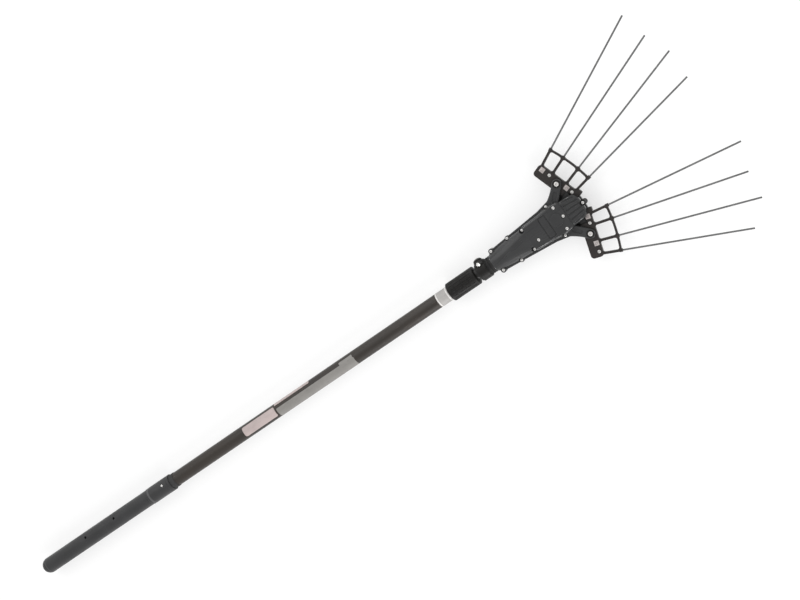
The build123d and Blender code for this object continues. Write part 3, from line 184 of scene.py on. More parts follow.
class Shader(Nodes):
    """Node tree of one material, which starts with a plain surface."""

    NOISE_ROUGHNESS: ClassVar[float] = 0.55
    CREVICE: ClassVar[tuple[float, float]] = (0.95, 0.45)  # openness at its start and its depth
    EDGE: ClassVar[tuple[float, float]] = (0.99, 0.86)  # turn of the normal beside and on an edge

    def __init__(self, name: str) -> None:
        """Start the material.

        Args:
            name: Its name.
        """
        self.material = bpy.data.materials.new(name)
        self.material.use_nodes = True
        super().__init__(self.material.node_tree)
        self.surface = self.tree.nodes["Principled BSDF"]
        self.place = self.add("TexCoord", {}).outputs["Object"]

    def set(self, **values: Feed) -> None:
        """Set or link sockets of the surface, by their names with _ for a space."""
        for name, value in values.items():
            self.feed(self.surface.inputs[name.replace("_", " ")], value)

    def along(self, axis: str) -> Socket:
        """Object coordinate along one axis, by its letter."""
        return self.add("SeparateXYZ", {"Vector": self.place}).outputs[axis]

    def stretched(self, scale: Sequence[float]) -> Socket:
        """Object coordinates, scaled along X, Y and Z."""
        return self.add("Mapping", {"Vector": self.place, "Scale": scale}).outputs["Vector"]

    def noise(self, size: float, detail: float, stretch: Sequence[float] = EVEN) -> Socket:
        """Cloudy values from 0 to 1.

        Args:
            size: Size of one cloud in metres.
            detail: Number of finer layers.
            stretch: Scale of the coordinates.

        Returns:
            The value.
        """
        inputs = {
            "Vector": self.stretched([s / size for s in stretch]),
            "Scale": 1.0,
            "Detail": detail,
            "Roughness": self.NOISE_ROUGHNESS,
        }
        return self.add("TexNoise", inputs).outputs[0]

    def pattern(self, pattern: Pattern, start: float = 0.0, end: float = 1.0) -> Socket:
        """Values of a cloudy pattern.

        Args:
            pattern: The pattern.
            start: Value outside it.
            end: Value where it is full.

        Returns:
            The value.
        """
        clouds = self.noise(pattern.size, pattern.detail, pattern.stretch)
        return self.ramp(clouds, pattern.low, pattern.high, start, end)

    def mix(self, share: Feed, first: Feed, second: Feed) -> Socket:
        """Mix two colours by the share of the second one."""
        inputs = {0: share, 6: first, 7: second}
        return self.add("Mix", inputs, data_type="RGBA").outputs[2]

    def stain(self, colour: Feed, mask: Socket, amount: float, other: Feed) -> Socket:
        """Lay another colour over a colour, by an amount of a mask."""
        return self.mix(self.math("MULTIPLY", mask, amount), colour, other)

    def band(self, axis: str, middle: float, outer: float, inner: float) -> Socket:
        """Band across an axis.

        Args:
            axis: Letter of the axis.
            middle: Place of the band on it.
            outer: Half width at which the band starts.
            inner: Half width within which it is full.

        Returns:
            0 outside the band and 1 in it.
        """
        apart = self.math("ABSOLUTE", self.math("SUBTRACT", self.along(axis), middle))
        return self.ramp(apart, outer, inner)

    def crevices(self, distance: float) -> Socket:
        """0 on open faces, up to 1 deep in a corner, by the reach of the test in metres."""
        node = self.add("AmbientOcclusion", {"Distance": distance}, samples=6, only_local=True)
        return self.ramp(node.outputs["AO"], *self.CREVICE)

    def rounded(self, radius: float) -> Socket:
        """Normal that softens sharp edges by a radius in metres."""
        return self.add("Bevel", {"Radius": radius}, samples=4).outputs["Normal"]

    def edges(self, radius: float) -> Socket:
        """How near a spot lies to an edge.

        Args:
            radius: Reach of the test in metres.

        Returns:
            0 on open faces, up to 1 on an edge.
        """
        straight = self.add("NewGeometry", {}).outputs["Normal"]
        inputs = {0: self.rounded(radius), 1: straight}
        same = self.add("VectorMath", inputs, operation="DOT_PRODUCT").outputs["Value"]
        return self.ramp(same, *self.EDGE)

    def bump(self, height: Socket, depth: float, normal: Socket) -> Socket:
        """Normal of a relief of a real depth in metres, over the normal underneath."""
        inputs = {"Height": height, "Distance": depth, "Strength": 1.0, "Normal": normal}
        return self.add("Bump", inputs).outputs["Normal"]


@dataclass(frozen=True)
class Finish:
    """Finish of a piece, with the material's name and its main tone on a display."""

    name: str
    tone: Tone

    @cache
    def material(self) -> bpy.types.Material:
        """Build the material when it is first asked for.

        Returns:
            The finished material.
        """
        shader = Shader(self.name)
        self.lay(shader)
        return shader.material

    def lay(self, s: Shader) -> None:
        """Lay the finish on a plain surface; each kind of finish has its own way."""
        raise NotImplementedError


@dataclass(frozen=True)
class Rim:
    """Ring round the pole's axis painted pale, a painted highlight where a lit edge or chamfer
    catches light: its X, half width and gain in tone.
    """

    x: float
    half: float
    lift: float


@dataclass(frozen=True)
class Post:
    """Upright post that is dipped black: its place and the radius of the dip."""

    x: float
    y: float
    reach: float


@dataclass(frozen=True)
class MouldedPlastic(Finish):
    """Grained plastic from a mould, with edges painted pale for wear and a painted highlight, and
    corners darkened for dirt and painted shade.

    Attributes:
        grain: Size of the grain in metres.
        gloss: Strength of its reflections.
        rub: How far the edges are painted pale, as wear and as a painted highlight.
        grime: How far the corners are painted dark, as dirt and as painted shade.
        fleck: How far short fibres show in the plastic.
        parting_line: Whether the mould's halves leave a line at the pole's axis.
        dip_end: X behind which the piece is dipped matt black.
        post: Post that is dipped too.
        rim: Ring painted pale as a painted highlight.
    """

    grain: float
    grain_depth: float
    roughness: float
    gloss: float = 0.42
    rub: float = 0.5
    grime: float = 0.7
    fleck: float = 0.0
    parting_line: bool = False
    dip_end: float | None = None
    post: Post | None = None
    rim: Rim | None = None

    CLOUDS: ClassVar[Pattern] = Pattern(0.05, 4.0, 0.35, 0.65)
    FIBRES: ClassVar[Pattern] = Pattern(0.0006, 1.0, 0.62, 0.7, (0.12, 1, 1))
    SCUFFS: ClassVar[Pattern] = Pattern(0.018, 5.0, 0.4, 0.72, (0.25, 1, 1))
    FIBRE_TONE: ClassVar[Tone] = (0.52, 0.45, 0.38)
    LINE_TONE: ClassVar[Tone] = (0.05, 0.05, 0.05)
    DIP_TONE: ClassVar[Tone] = (0.075, 0.072, 0.07)
    DIP_SPECKLE: ClassVar[Tone] = (0.11, 0.108, 0.105)
    DIP_ROUGHNESS: ClassVar[float] = 0.72
    DIP_BLUR: ClassVar[float] = 0.0003
    CORNER_REACH: ClassVar[float] = 0.005
    EDGE_REACH: ClassVar[float] = 0.0011
    SOFT_EDGE: ClassVar[float] = 0.0006
    LINE_HALVES: ClassVar[tuple[float, float]] = (0.0003, 0.00012)

    def lay(self, s: Shader) -> None:
        """Lay clouds, speckle, fibres, painted shade and dirt in the corners, edges painted pale as
        wear and highlight, lines and dips over one another.

        Args:
            s: Shader of the material.
        """
        tone = self.tone
        speckle = s.pattern(Pattern(self.grain * 2.2, 2.0, 0.56, 0.74))
        # Painted shade with some dirt: an occlusion test finds the corners that are darkened below.
        corner = s.crevices(self.CORNER_REACH)
        # Painted highlight with some wear: open edges, found by the turn of a rounded normal, are
        # lightened below.
        edge_wear_and_highlight = s.math("MULTIPLY", s.edges(self.EDGE_REACH), s.math("SUBTRACT", 1.0, corner))
        colour = s.mix(s.pattern(self.CLOUDS), linear(tone, 0.86), linear(tone))
        colour = s.stain(colour, speckle, 0.35, linear(tone, lift=0.055))
        if self.fleck:
            colour = s.stain(colour, s.pattern(self.FIBRES), self.fleck, linear(self.FIBRE_TONE))
        # Painted shade and dirt: corners darkened towards a dark version of the tone.
        colour = s.stain(colour, corner, self.grime, linear(tone, 0.4))
        # Painted highlight and wear: edges lightened towards a paler version of the tone.
        colour = s.stain(colour, edge_wear_and_highlight, self.rub, linear(tone, lift=0.16))
        if self.parting_line:
            line = s.band("Z", AXIS_Z, *self.LINE_HALVES)
            colour = s.stain(colour, line, 0.75, linear(self.LINE_TONE))
        # Painted highlight: a pale ring across X that stands for light caught on a chamfer or edge.
        if self.rim is not None:
            ring = s.band("X", self.rim.x, self.rim.half * 1.33, self.rim.half * 0.67)
            colour = s.mix(ring, colour, linear(tone, lift=self.rim.lift))
        rough = s.pattern(self.SCUFFS, self.roughness - 0.07, self.roughness + 0.12)
        if self.dip_end is not None:
            dipped = self.dipped(s)
            black = s.mix(speckle, linear(self.DIP_TONE), linear(self.DIP_SPECKLE))
            colour = s.mix(dipped, colour, black)
            rough = s.math("MAXIMUM", rough, s.math("MULTIPLY", dipped, self.DIP_ROUGHNESS))
        normal = s.bump(s.noise(self.grain, 2.0), self.grain_depth, s.rounded(self.SOFT_EDGE))
        s.set(Base_Color=colour, Roughness=rough, Normal=normal, Specular_IOR_Level=self.gloss)

    def dipped(self, s: Shader) -> Socket:
        """Where the piece is dipped black.

        Args:
            s: Shader of the material.

        Returns:
            1 behind the dip's end and on the post, and 0 elsewhere.
        """
        blur = self.DIP_BLUR
        dipped = s.ramp(s.along("X"), self.dip_end + blur, self.dip_end - blur)
        if self.post is None:
            return dipped
        inputs = {0: s.stretched((1, 1, 0)), 1: (self.post.x, self.post.y, 0)}
        away = s.add("VectorMath", inputs, operation="DISTANCE").outputs["Value"]
        near = s.ramp(away, self.post.reach + blur, self.post.reach - blur)
        return s.math("MAXIMUM", dipped, near)


@dataclass(frozen=True)
class CoatedTube(Finish):
    """Drawn tube with a satin coat and fine marks along its length."""

    metallic: float
    roughness: float

    STREAKS: ClassVar[Pattern] = Pattern(0.0016, 4.0, 0.3, 0.7, (0.012, 1, 1))
    PATCHES: ClassVar[Pattern] = Pattern(0.11, 3.0, 0.35, 0.65)
    SCRATCHES: ClassVar[Pattern] = Pattern(0.0011, 1.0, 0.72, 0.78, (0.05, 1, 1))
    SCRATCH_TONE: ClassVar[Tone] = (0.55, 0.53, 0.5)
    WARMTH: ClassVar[Tone] = (1.08, 1.03, 0.98)
    RELIEF: ClassVar[float] = 0.00002
    SOFT_EDGE: ClassVar[float] = 0.0004

    def lay(self, s: Shader) -> None:
        """Lay streaks in cool and warm patches, and a few scratches.

        Args:
            s: Shader of the material.
        """
        base = linear(self.tone)
        warm = linear(tuple(c * w for c, w in zip(self.tone, self.WARMTH)))
        streak = s.pattern(self.STREAKS)
        cool_patch = s.mix(streak, linear(self.tone, 0.84), base)
        colour = s.mix(s.pattern(self.PATCHES), cool_patch, s.mix(streak, base, warm))
        colour = s.stain(colour, s.pattern(self.SCRATCHES), 0.25, linear(self.SCRATCH_TONE))
        rough = s.ramp(streak, 0.0, 1.0, self.roughness - 0.06, self.roughness + 0.08)
        normal = s.bump(streak, self.RELIEF, s.rounded(self.SOFT_EDGE))
        s.set(Base_Color=colour, Roughness=rough, Normal=normal)
        s.set(Metallic=self.metallic, Specular_IOR_Level=0.45)


@dataclass(frozen=True)
class WorkedMetal(Finish):
    """Plated, machined or ground metal with fine tool marks and a share of dull spots."""

    roughness: float
    marks: float = 0.0008
    spots: float = 0.15

    TARNISH: ClassVar[Pattern] = Pattern(0.004, 5.0, 0.42, 0.68)
    GRIME_TONE: ClassVar[Tone] = (0.16, 0.15, 0.14)
    CORNER_REACH: ClassVar[float] = 0.0015
    RELIEF: ClassVar[float] = 0.000015
    SOFT_EDGE: ClassVar[float] = 0.00025

    def lay(self, s: Shader) -> None:
        """Lay dull spots, painted shade and dirt in the corners, and tool marks.

        Args:
            s: Shader of the material.
        """
        tarnish = s.pattern(self.TARNISH)
        colour = s.stain(linear(self.tone), tarnish, self.spots * 2, linear(self.tone, 0.78))
        # Painted shade and dirt: corners, found by an occlusion test, darkened towards a dark grey.
        colour = s.stain(colour, s.crevices(self.CORNER_REACH), 0.6, linear(self.GRIME_TONE))
        lines = s.noise(self.marks, 2.0, (0.2, 1, 1))
        rough = s.ramp(lines, 0.3, 0.7, self.roughness - 0.05, self.roughness + 0.1)
        normal = s.bump(lines, self.RELIEF, s.rounded(self.SOFT_EDGE))
        s.set(Base_Color=colour, Roughness=rough, Normal=normal, Metallic=1.0)


@dataclass(frozen=True)
class SpringRod(Finish):
    """Drawn fibre rod: fine lengthwise fibres under a satin resin skin."""

    roughness: float

    FIBRES: ClassVar[Pattern] = Pattern(0.0005, 3.0, 0.35, 0.65, (0.02, 1, 1))
    RUBS: ClassVar[Pattern] = Pattern(0.05, 4.0, 0.5, 0.75)
    RELIEF: ClassVar[float] = 0.00003
    SOFT_EDGE: ClassVar[float] = 0.0003

    def lay(self, s: Shader) -> None:
        """Lay fibres and rubbed lengths.

        Args:
            s: Shader of the material.
        """
        fibre, rub = s.pattern(self.FIBRES), s.pattern(self.RUBS)
        colour = s.mix(fibre, linear(self.tone, 0.7), linear(self.tone))
        colour = s.stain(colour, rub, 0.3, linear(self.tone, 1.35))
        rough = s.ramp(rub, 0.0, 1.0, self.roughness, self.roughness + 0.15)
        normal = s.bump(fibre, self.RELIEF, s.rounded(self.SOFT_EDGE))
        s.set(Base_Color=colour, Roughness=rough, Normal=normal, Specular_IOR_Level=0.5)


@dataclass(frozen=True)
class Rubber(Finish):
    """Matt rubber with a dusty bloom."""

    BLOOM: ClassVar[Pattern] = Pattern(0.012, 5.0, 0.4, 0.75)
    GRAIN: ClassVar[float] = 0.0007
    RELIEF: ClassVar[float] = 0.00004
    SOFT_EDGE: ClassVar[float] = 0.0005

    def lay(self, s: Shader) -> None:
        """Lay the bloom over the rubber.

        Args:
            s: Shader of the material.
        """
        bloom = s.pattern(self.BLOOM)
        colour = s.stain(linear(self.tone), bloom, 0.5, linear(self.tone, lift=0.08))
        rough = s.ramp(bloom, 0.0, 1.0, 0.68, 0.85)
        normal = s.bump(s.noise(self.GRAIN, 2.0), self.RELIEF, s.rounded(self.SOFT_EDGE))
        s.set(Base_Color=colour, Roughness=rough, Normal=normal, Specular_IOR_Level=0.3)


@dataclass(frozen=True)
class StuckFilm(Finish):
    """Thin blank film stuck on the pole, a little scuffed."""

    roughness: float

    WEAR: ClassVar[Pattern] = Pattern(0.006, 6.0, 0.55, 0.72, (0.35, 1, 1))
    SOIL: ClassVar[Pattern] = Pattern(0.03, 3.0, 0.4, 0.7)
    WORN_ROUGHNESS: ClassVar[float] = 0.7
    RIPPLE: ClassVar[float] = 0.003
    RELIEF: ClassVar[float] = 0.00002
    SOFT_EDGE: ClassVar[float] = 0.0001

    def lay(self, s: Shader) -> None:
        """Lay soil and wear over the film.

        Args:
            s: Shader of the material.
        """
        wear = s.pattern(self.WEAR)
        soil = s.pattern(self.SOIL)
        colour = s.stain(linear(self.tone), soil, 0.3, linear(self.tone, 0.8))
        colour = s.stain(colour, wear, 0.28, linear(self.tone, 0.6, 0.12))
        rough = s.ramp(wear, 0.0, 1.0, self.roughness, self.WORN_ROUGHNESS)
        normal = s.bump(s.noise(self.RIPPLE, 3.0), self.RELIEF, s.rounded(self.SOFT_EDGE))
        s.set(Base_Color=colour, Roughness=rough, Normal=normal)


class Paint(Enum):
    """Finishes of the tool, by the piece that wears them."""

    GRIP = MouldedPlastic(
        "grip_plastic", (0.18, 0.181, 0.185), 0.0014, 0.00016, 0.46, parting_line=True
    )
    # The pale rings of the cap and the collar are painted highlights.
    CAP = MouldedPlastic(
        "cap_plastic", (0.15, 0.15, 0.153), 0.0014, 0.00016, 0.46, rim=Rim(-1.591, 0.0009, 0.127)
    )
    COLLAR = MouldedPlastic(
        "collar_plastic", (0.19, 0.19, 0.193), 0.0006, 0.00003, 0.42, rim=Rim(-1.2365, 0.0026, 0.11)
    )
    CASING = MouldedPlastic(
        "casing_plastic",
        (0.19, 0.191, 0.194),
        0.0006,
        0.00003,
        0.28,
        rub=0.75,
        grime=0.35,
        parting_line=True,
        dip_end=-0.1805,
        post=Post(0.071, 0.0, 0.0069),
    )
    BLACK = MouldedPlastic(
        "black_plastic", (0.07, 0.064, 0.056), 0.0006, 0.00004, 0.5, gloss=0.25, rub=0.4
    )
    SOCKET = MouldedPlastic("socket_plastic", (0.12, 0.12, 0.12), 0.0005, 0.00002, 0.45)
    COMB = MouldedPlastic(
        "comb_plastic", (0.135, 0.115, 0.107), 0.0007, 0.00004, 0.42, rub=0.3, fleck=0.12
    )
    NYLON = MouldedPlastic("lock_nylon", (0.58, 0.58, 0.56), 0.0006, 0.00003, 0.5)
    BOARD = MouldedPlastic("board_green", (0.1, 0.3, 0.18), 0.0004, 0.00002, 0.35)
    POLE = CoatedTube("pole_tube", (0.187, 0.17, 0.155), 0.2, 0.4)
    DRAWN = CoatedTube("inner_tube", (0.1, 0.098, 0.095), 0.3, 0.34)
    ZINC = WorkedMetal("screw_steel", (0.9, 0.895, 0.885), 0.36)
    PIVOT = WorkedMetal("pivot_steel", (0.92, 0.91, 0.9), 0.36)
    NUT = WorkedMetal("nut_steel", (0.765, 0.735, 0.725), 0.48, spots=0.3)
    BLACKENED = WorkedMetal("dark_steel", (0.22, 0.22, 0.22), 0.4)
    SHEET = WorkedMetal("motor_steel", (0.66, 0.66, 0.665), 0.38)
    GEAR = WorkedMetal("gear_steel", (0.62, 0.62, 0.63), 0.3, 0.0005)
    GROUND = WorkedMetal("bearing_steel", (0.8, 0.8, 0.8), 0.2, 0.0004)
    ALLOY = WorkedMetal("bulkhead_alloy", (0.76, 0.76, 0.77), 0.42, 0.0012)
    BRASS = WorkedMetal("contact_brass", (0.85, 0.72, 0.42), 0.3)
    BRONZE = WorkedMetal("guide_bronze", (0.74, 0.58, 0.36), 0.36)
    ROCKER = WorkedMetal("rocker_steel", (0.25, 0.25, 0.25), 0.4, 0.001)
    ROD = SpringRod("rod_fibre", (0.41, 0.41, 0.41), 0.42)
    SEAL = Rubber("seal_rubber", (0.2, 0.2, 0.2))
    BUTTON = Rubber("button_rubber", (0.12, 0.12, 0.12))
    WHITE_FILM = StuckFilm("white_film", (0.66, 0.65, 0.64), 0.42)
    EDGE_FILM = StuckFilm("edge_film", (0.86, 0.85, 0.84), 0.42)
    PLATE_FILM = StuckFilm("plate_film", (0.72, 0.665, 0.655), 0.36)
    GREY_FILM = StuckFilm("grey_film", (0.52, 0.51, 0.495), 0.4)


COMB_NODES = {
    Paint.COMB: ("comb_top_half", "comb_bottom_half"),
    Paint.ZINC: ("comb_bolts",),
    Paint.NUT: ("comb_nuts",),
    Paint.ROCKER: ("rocker_arm",),
    Paint.GROUND: ("drive_pin",),
    Paint.BRONZE: ("pivot_bush",),
    Paint.ROD: ("rod_1", "rod_2", "rod_3", "rod_4"),
}
NODES = {
    Paint.GRIP: ("grip_upper_shell", "grip_lower_shell"),
    Paint.CAP: ("butt_cap",),
    Paint.COLLAR: ("grip_collar",),
    Paint.SEAL: ("collar_seal",),
    Paint.BUTTON: ("switch_button",),
    Paint.SOCKET: ("inlet_socket", "switch_body"),
    Paint.BRASS: ("inlet_contacts",),
    Paint.BOARD: ("control_board",),
    Paint.POLE: ("outer_tube",),
    Paint.DRAWN: ("inner_tube",),
    Paint.BLACK: ("lock_sleeve", "neck_clamp"),
    Paint.NYLON: ("lock_body", "lock_collet", "tube_bush"),
    Paint.CASING: ("head_upper_shell", "head_lower_shell"),
    Paint.ZINC: ("housing_screws", "cover_screws", "clamp_bolt", "clamp_nut", "collar_screw"),
    Paint.BLACKENED: ("grip_screws",),
    Paint.PIVOT: ("pivot_bolts", "pivot_nuts"),
    Paint.SHEET: ("motor_can", "motor_rotor"),
    Paint.GEAR: ("drive_pinion", "crank_gear", "crosshead"),
    Paint.GROUND: ("pinion_bearing", "crank_bearing", "crank_pin"),
    Paint.ALLOY: ("bearing_bulkhead",),
    Paint.BRONZE: ("guide_rails", "guide_shoe"),
}


def coat(piece: Piece, paint: Paint) -> None:
    """Give a whole piece one finish."""
    piece.data.materials.clear()
    piece.data.materials.append(paint.value.material())


class Element(Enum):
    """Elements of a mesh that can be selected."""

    FACE = "FACE"
    EDGE = "EDGE"


def pick(piece: Piece) -> None:
    """Select one piece alone and make it the active one.

    Args:
        piece: The piece to select.
    """
    bpy.ops.object.select_all(action="DESELECT")
    piece.select_set(True)
    bpy.context.view_layer.objects.active = piece


def settle(piece: Piece) -> None:
    """Move a piece's place, turn and scale into its mesh."""
    pick(piece)
    bpy.ops.object.transform_apply(location=True, rotation=True, scale=True)


@contextmanager
def editing(piece: Piece, kind: Element, wanted: Test) -> Iterator[None]:
    """Edit mode with chosen faces or edges selected, which is left again at the end.

    Args:
        piece: The piece to edit.
        kind: What is selected.
        wanted: Test on an element's middle, and on a face's normal or an edge's direction.

    Yields:
        Nothing, while the piece is in edit mode.
    """
    pick(piece)
    mesh = piece.data
    bpy.ops.object.mode_set(mode="EDIT")
    bpy.ops.mesh.select_mode(type=kind.value)
    bpy.ops.mesh.select_all(action="DESELECT")
    bpy.ops.object.mode_set(mode="OBJECT")
    if kind is Element.FACE:
        for face in mesh.polygons:
            face.select = wanted(face.center, face.normal)
    else:
        for edge in mesh.edges:
            first, second = (mesh.vertices[i].co for i in edge.vertices)
            edge.select = wanted((first + second) / 2, (second - first).normalized())
    bpy.ops.object.mode_set(mode="EDIT")
    yield
    bpy.ops.object.mode_set(mode="OBJECT")


def faces_up(middle: Vector, normal: Vector) -> bool:
    """Whether a face looks up."""
    return normal.z > STEEP


def faces_down(middle: Vector, normal: Vector) -> bool:
    """Whether a face looks down."""
    return normal.z < -STEEP


def stands(middle: Vector, way: Vector) -> bool:
    """Whether a face looks straight up or down, or an edge stands upright."""
    return abs(way.z) > STEEP


def at_top(height: float, inner: float = 0.0, outer: float = math.inf) -> Test:
    """Test for edges at a piece's top, within two distances from its axis."""
    return lambda middle, way: middle.z > height * 0.99 and inner <= middle.xy.length <= outer


def cylinder(name: str, radius: float, depth: float, sides: int, base: float = 0.0) -> Piece:
    """Add an upright cylinder primitive that stands on a height.

    Args:
        name: Name of the object.
        radius: Radius of its corners.
        depth: Its height.
        sides: Number of sides.
        base: Height of its foot.

    Returns:
        The new object, with its place in its mesh.
    """
    bpy.ops.object.select_all(action="DESELECT")
    bpy.ops.mesh.primitive_cylinder_add(
        vertices=sides, radius=radius, depth=depth, location=(0, 0, base + depth / 2)
    )
    piece = bpy.context.object
    piece.name = piece.data.name = name
    settle(piece)
    return piece


def step_down(inset: float, depth: float) -> None:
    """Inset the selected faces and extrude them down."""
    bpy.ops.mesh.inset(thickness=inset)
    bpy.ops.mesh.extrude_region_move(TRANSFORM_OT_translate={"value": (0, 0, -depth)})


def apply_modifier(piece: Piece, kind: str, **settings: object) -> None:
    """Add a modifier to a piece and apply it.

    Args:
        piece: The piece to change.
        kind: Blender's name of the modifier type.
        settings: The modifier's properties.
    """
    pick(piece)
    modifier = piece.modifiers.new(kind.title(), kind)
    for key, value in settings.items():
        setattr(modifier, key, value)
    bpy.ops.object.modifier_apply(modifier=modifier.name)


def cut(piece: Piece, cutter: Piece) -> None:
    """Cut one object out of a piece and delete the cutter."""
    apply_modifier(piece, "BOOLEAN", object=cutter, operation="DIFFERENCE", solver="EXACT")
    bpy.data.objects.remove(cutter)


def smooth(piece: Piece, angle: float = 35.0) -> None:
    """Shade a piece smooth, with creases at edges sharper than an angle in degrees."""
    pick(piece)
    bpy.ops.object.shade_smooth_by_angle(angle=math.radians(angle))


def upright(spot: Sequence[float], axis: Sequence[float] = UP, turn: float = 0.0) -> Matrix:
    """Frame at a spot whose Z runs along an axis.

    Args:
        spot: Origin of the frame.
        axis: Direction of its Z.
        turn: Turn about that axis in degrees.

    Returns:
        The frame as a matrix.
    """
    tilt = Vector(UP).rotation_difference(Vector(axis).normalized()).to_matrix().to_4x4()
    return Matrix.Translation(Vector(spot)) @ tilt @ Matrix.Rotation(math.radians(turn), 4, "Z")


def twin(piece: Piece, name: str, place: Matrix) -> Piece:
    """Copy a piece, with its own mesh, to a place.

    Args:
        piece: The piece to copy.
        name: Name of the copy.
        place: Where the piece's origin and axes go.

    Returns:
        The copy, with its place in its mesh.
    """
    copy = piece.copy()
    copy.data = piece.data.copy()
    copy.name = copy.data.name = name
    bpy.context.scene.collection.objects.link(copy)
    copy.matrix_world = place
    settle(copy)
    return copy


def gather(name: str, parts: Sequence[Piece]) -> Piece:
    """Join parts into one piece.

    Args:
        name: Name of the joined piece.
        parts: The parts, of which the first stays.

    Returns:
        The joined piece.
    """
    pick(parts[0])
    for part in parts:
        part.select_set(True)
    if len(parts) > 1:
        bpy.ops.object.join()
    parts[0].name = parts[0].data.name = name
    return parts[0]


class Drive(Enum):
    """Recess in a fastener's head."""

    CROSS = "cross"
    HEX = "hex"


@dataclass(frozen=True)
class Screw:
    """Round-headed screw or bolt, head up, with its seat at the origin.

    The dome is how far the head's edge is rounded, and the shank is given by its length.
    """

    head_r: float
    head_h: float
    shank_r: float
    shank: float
    drive: Drive
    dome: float
    sides: int = 40

    # The recess: its depth as a share of the head's height, the rest as shares of its radius.
    RECESS: ClassVar[float] = 0.62
    HEX_CORNER: ClassVar[float] = 0.56
    BAR: ClassVar[tuple[float, float]] = (1.2, 0.27)
    BAR_TAPER: ClassVar[float] = 0.45

    def build(self, name: str) -> Piece:
        """Model the screw.

        Args:
            name: Name of the object.

        Returns:
            The screw as one mesh.
        """
        body = cylinder(name, self.head_r, self.head_h, self.sides)
        with editing(body, Element.EDGE, at_top(self.head_h, inner=self.head_r * 0.9)):
            bpy.ops.mesh.bevel(offset=self.dome, segments=5, profile=0.55)
        with editing(body, Element.FACE, faces_down):
            step_down(self.head_r - self.shank_r, self.shank)
        self.recess(body)
        smooth(body)
        return body

    def recess(self, body: Piece) -> None:
        """Cut the drive's recess into the head.

        Args:
            body: The screw.
        """
        depth = self.head_h * self.RECESS
        if self.drive is Drive.HEX:
            corner = self.head_r * self.HEX_CORNER
            cut(body, cylinder("hex_cutter", corner, depth, 6, self.head_h - depth * 0.95))
            return
        length, width = (self.head_r * share for share in self.BAR)
        for turn in (0, 90):
            bpy.ops.object.select_all(action="DESELECT")
            bpy.ops.mesh.primitive_cube_add(size=1, location=(0, 0, self.head_h))
            bar = bpy.context.object
            bar.scale = (length, width, depth)
            bar.rotation_euler.z = math.radians(turn)
            settle(bar)
            with editing(bar, Element.FACE, faces_down):
                bpy.ops.transform.resize(value=(self.BAR_TAPER, self.BAR_TAPER, 1.0))
            cut(body, bar)


@dataclass(frozen=True)
class Nut:
    """Square or hexagon nut with the end of its bolt, standing on the origin."""

    corner_r: float
    height: float
    bolt_r: float
    sides: int

    # Shares of the nut's height.
    TOP_BEVEL: ClassVar[float] = 0.12
    SIDE_BEVEL: ClassVar[float] = 0.1
    END_HEIGHT: ClassVar[float] = 0.9
    END_RISE: ClassVar[float] = 0.07
    # Shares of the bolt's radius.
    HOLE_R: ClassVar[float] = 1.02
    HOLE_BEVEL: ClassVar[float] = 0.16
    END_R: ClassVar[float] = 0.97
    END_BEVEL: ClassVar[float] = 0.22
    ROUND: ClassVar[int] = 32

    def build(self, name: str) -> Piece:
        """Model the nut and the bolt's end in it.

        Args:
            name: Name of the object.

        Returns:
            The nut and bolt end as one piece.
        """
        height, bolt_r = self.height, self.bolt_r
        nut = cylinder(name, self.corner_r, height, self.sides)
        with editing(nut, Element.EDGE, at_top(height)):
            bpy.ops.mesh.bevel(offset=height * self.TOP_BEVEL, segments=2, profile=0.5)
        with editing(nut, Element.EDGE, stands):
            bpy.ops.mesh.bevel(offset=height * self.SIDE_BEVEL, segments=2, profile=0.5)
        cut(nut, cylinder("nut_hole", bolt_r * self.HOLE_R, height * 3, self.ROUND, -height))
        with editing(nut, Element.EDGE, at_top(height, outer=bolt_r * 1.1)):
            bpy.ops.mesh.bevel(offset=bolt_r * self.HOLE_BEVEL, segments=1)
        end = cylinder("bolt_end", bolt_r * self.END_R, height * self.END_HEIGHT, self.ROUND)
        with editing(end, Element.FACE, faces_up):
            bpy.ops.mesh.inset(thickness=bolt_r * self.END_BEVEL)
            bpy.ops.transform.translate(value=(0, 0, height * self.END_RISE))
        piece = gather(name, [nut, end])
        smooth(piece)
        return piece


@dataclass(frozen=True)
class Washer:
    """Washer in a round sink, with a flange on its rim; the sink's floor is at the origin."""

    ring_r: float
    hole_r: float
    sink: float
    flange_r: float
    flange: float
    sides: int = 64

    def build(self, name: str) -> Piece:
        """Model the washer.

        Args:
            name: Name of the object.

        Returns:
            The washer as one mesh.
        """
        top = self.sink + self.flange
        ring = cylinder(name, self.flange_r, self.flange, self.sides, self.sink)
        with editing(ring, Element.EDGE, at_top(top)):
            bpy.ops.mesh.bevel(offset=self.flange * 0.6, segments=2, profile=0.5)
        with editing(ring, Element.FACE, faces_down):
            step_down(self.flange_r - self.ring_r, self.sink)
        cut(ring, cylinder("washer_cutter", self.hole_r, top * 3, self.sides, -top))
        smooth(ring)
        return ring


class Trim:
    """Pieces added to the CAD frame: where they ride, what they stand for, and their finish."""

    @staticmethod
    def set_out(name: str, fastener: Screw | Nut | Washer, places: Sequence[Matrix]) -> Piece:
        """Model a fastener, copy it to its places and join the copies.

        Args:
            name: Name of the joined piece.
            fastener: The fastener.
            places: Where its copies go.

        Returns:
            The joined piece.
        """
        model = fastener.build(f"{name}_model")
        copies = [twin(model, f"{name}_{i}", place) for i, place in enumerate(places)]
        bpy.data.objects.remove(model)
        return gather(name, copies)

    @staticmethod
    def fit(piece: Piece, paint: Paint, body: str, slot: str, *nodes: str) -> None:
        """Dress a piece and set it on its body.

        Args:
            piece: The finished piece.
            paint: Its finish.
            body: The CAD body that it moves with.
            slot: The record's material slot; not used.
            nodes: CAD nodes that it stands for.
        """
        coat(piece, paint)
        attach(piece, body)
        if nodes:
            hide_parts(*nodes)
        log.info("%s on %s, %d faces", piece.name, body, len(piece.data.polygons))


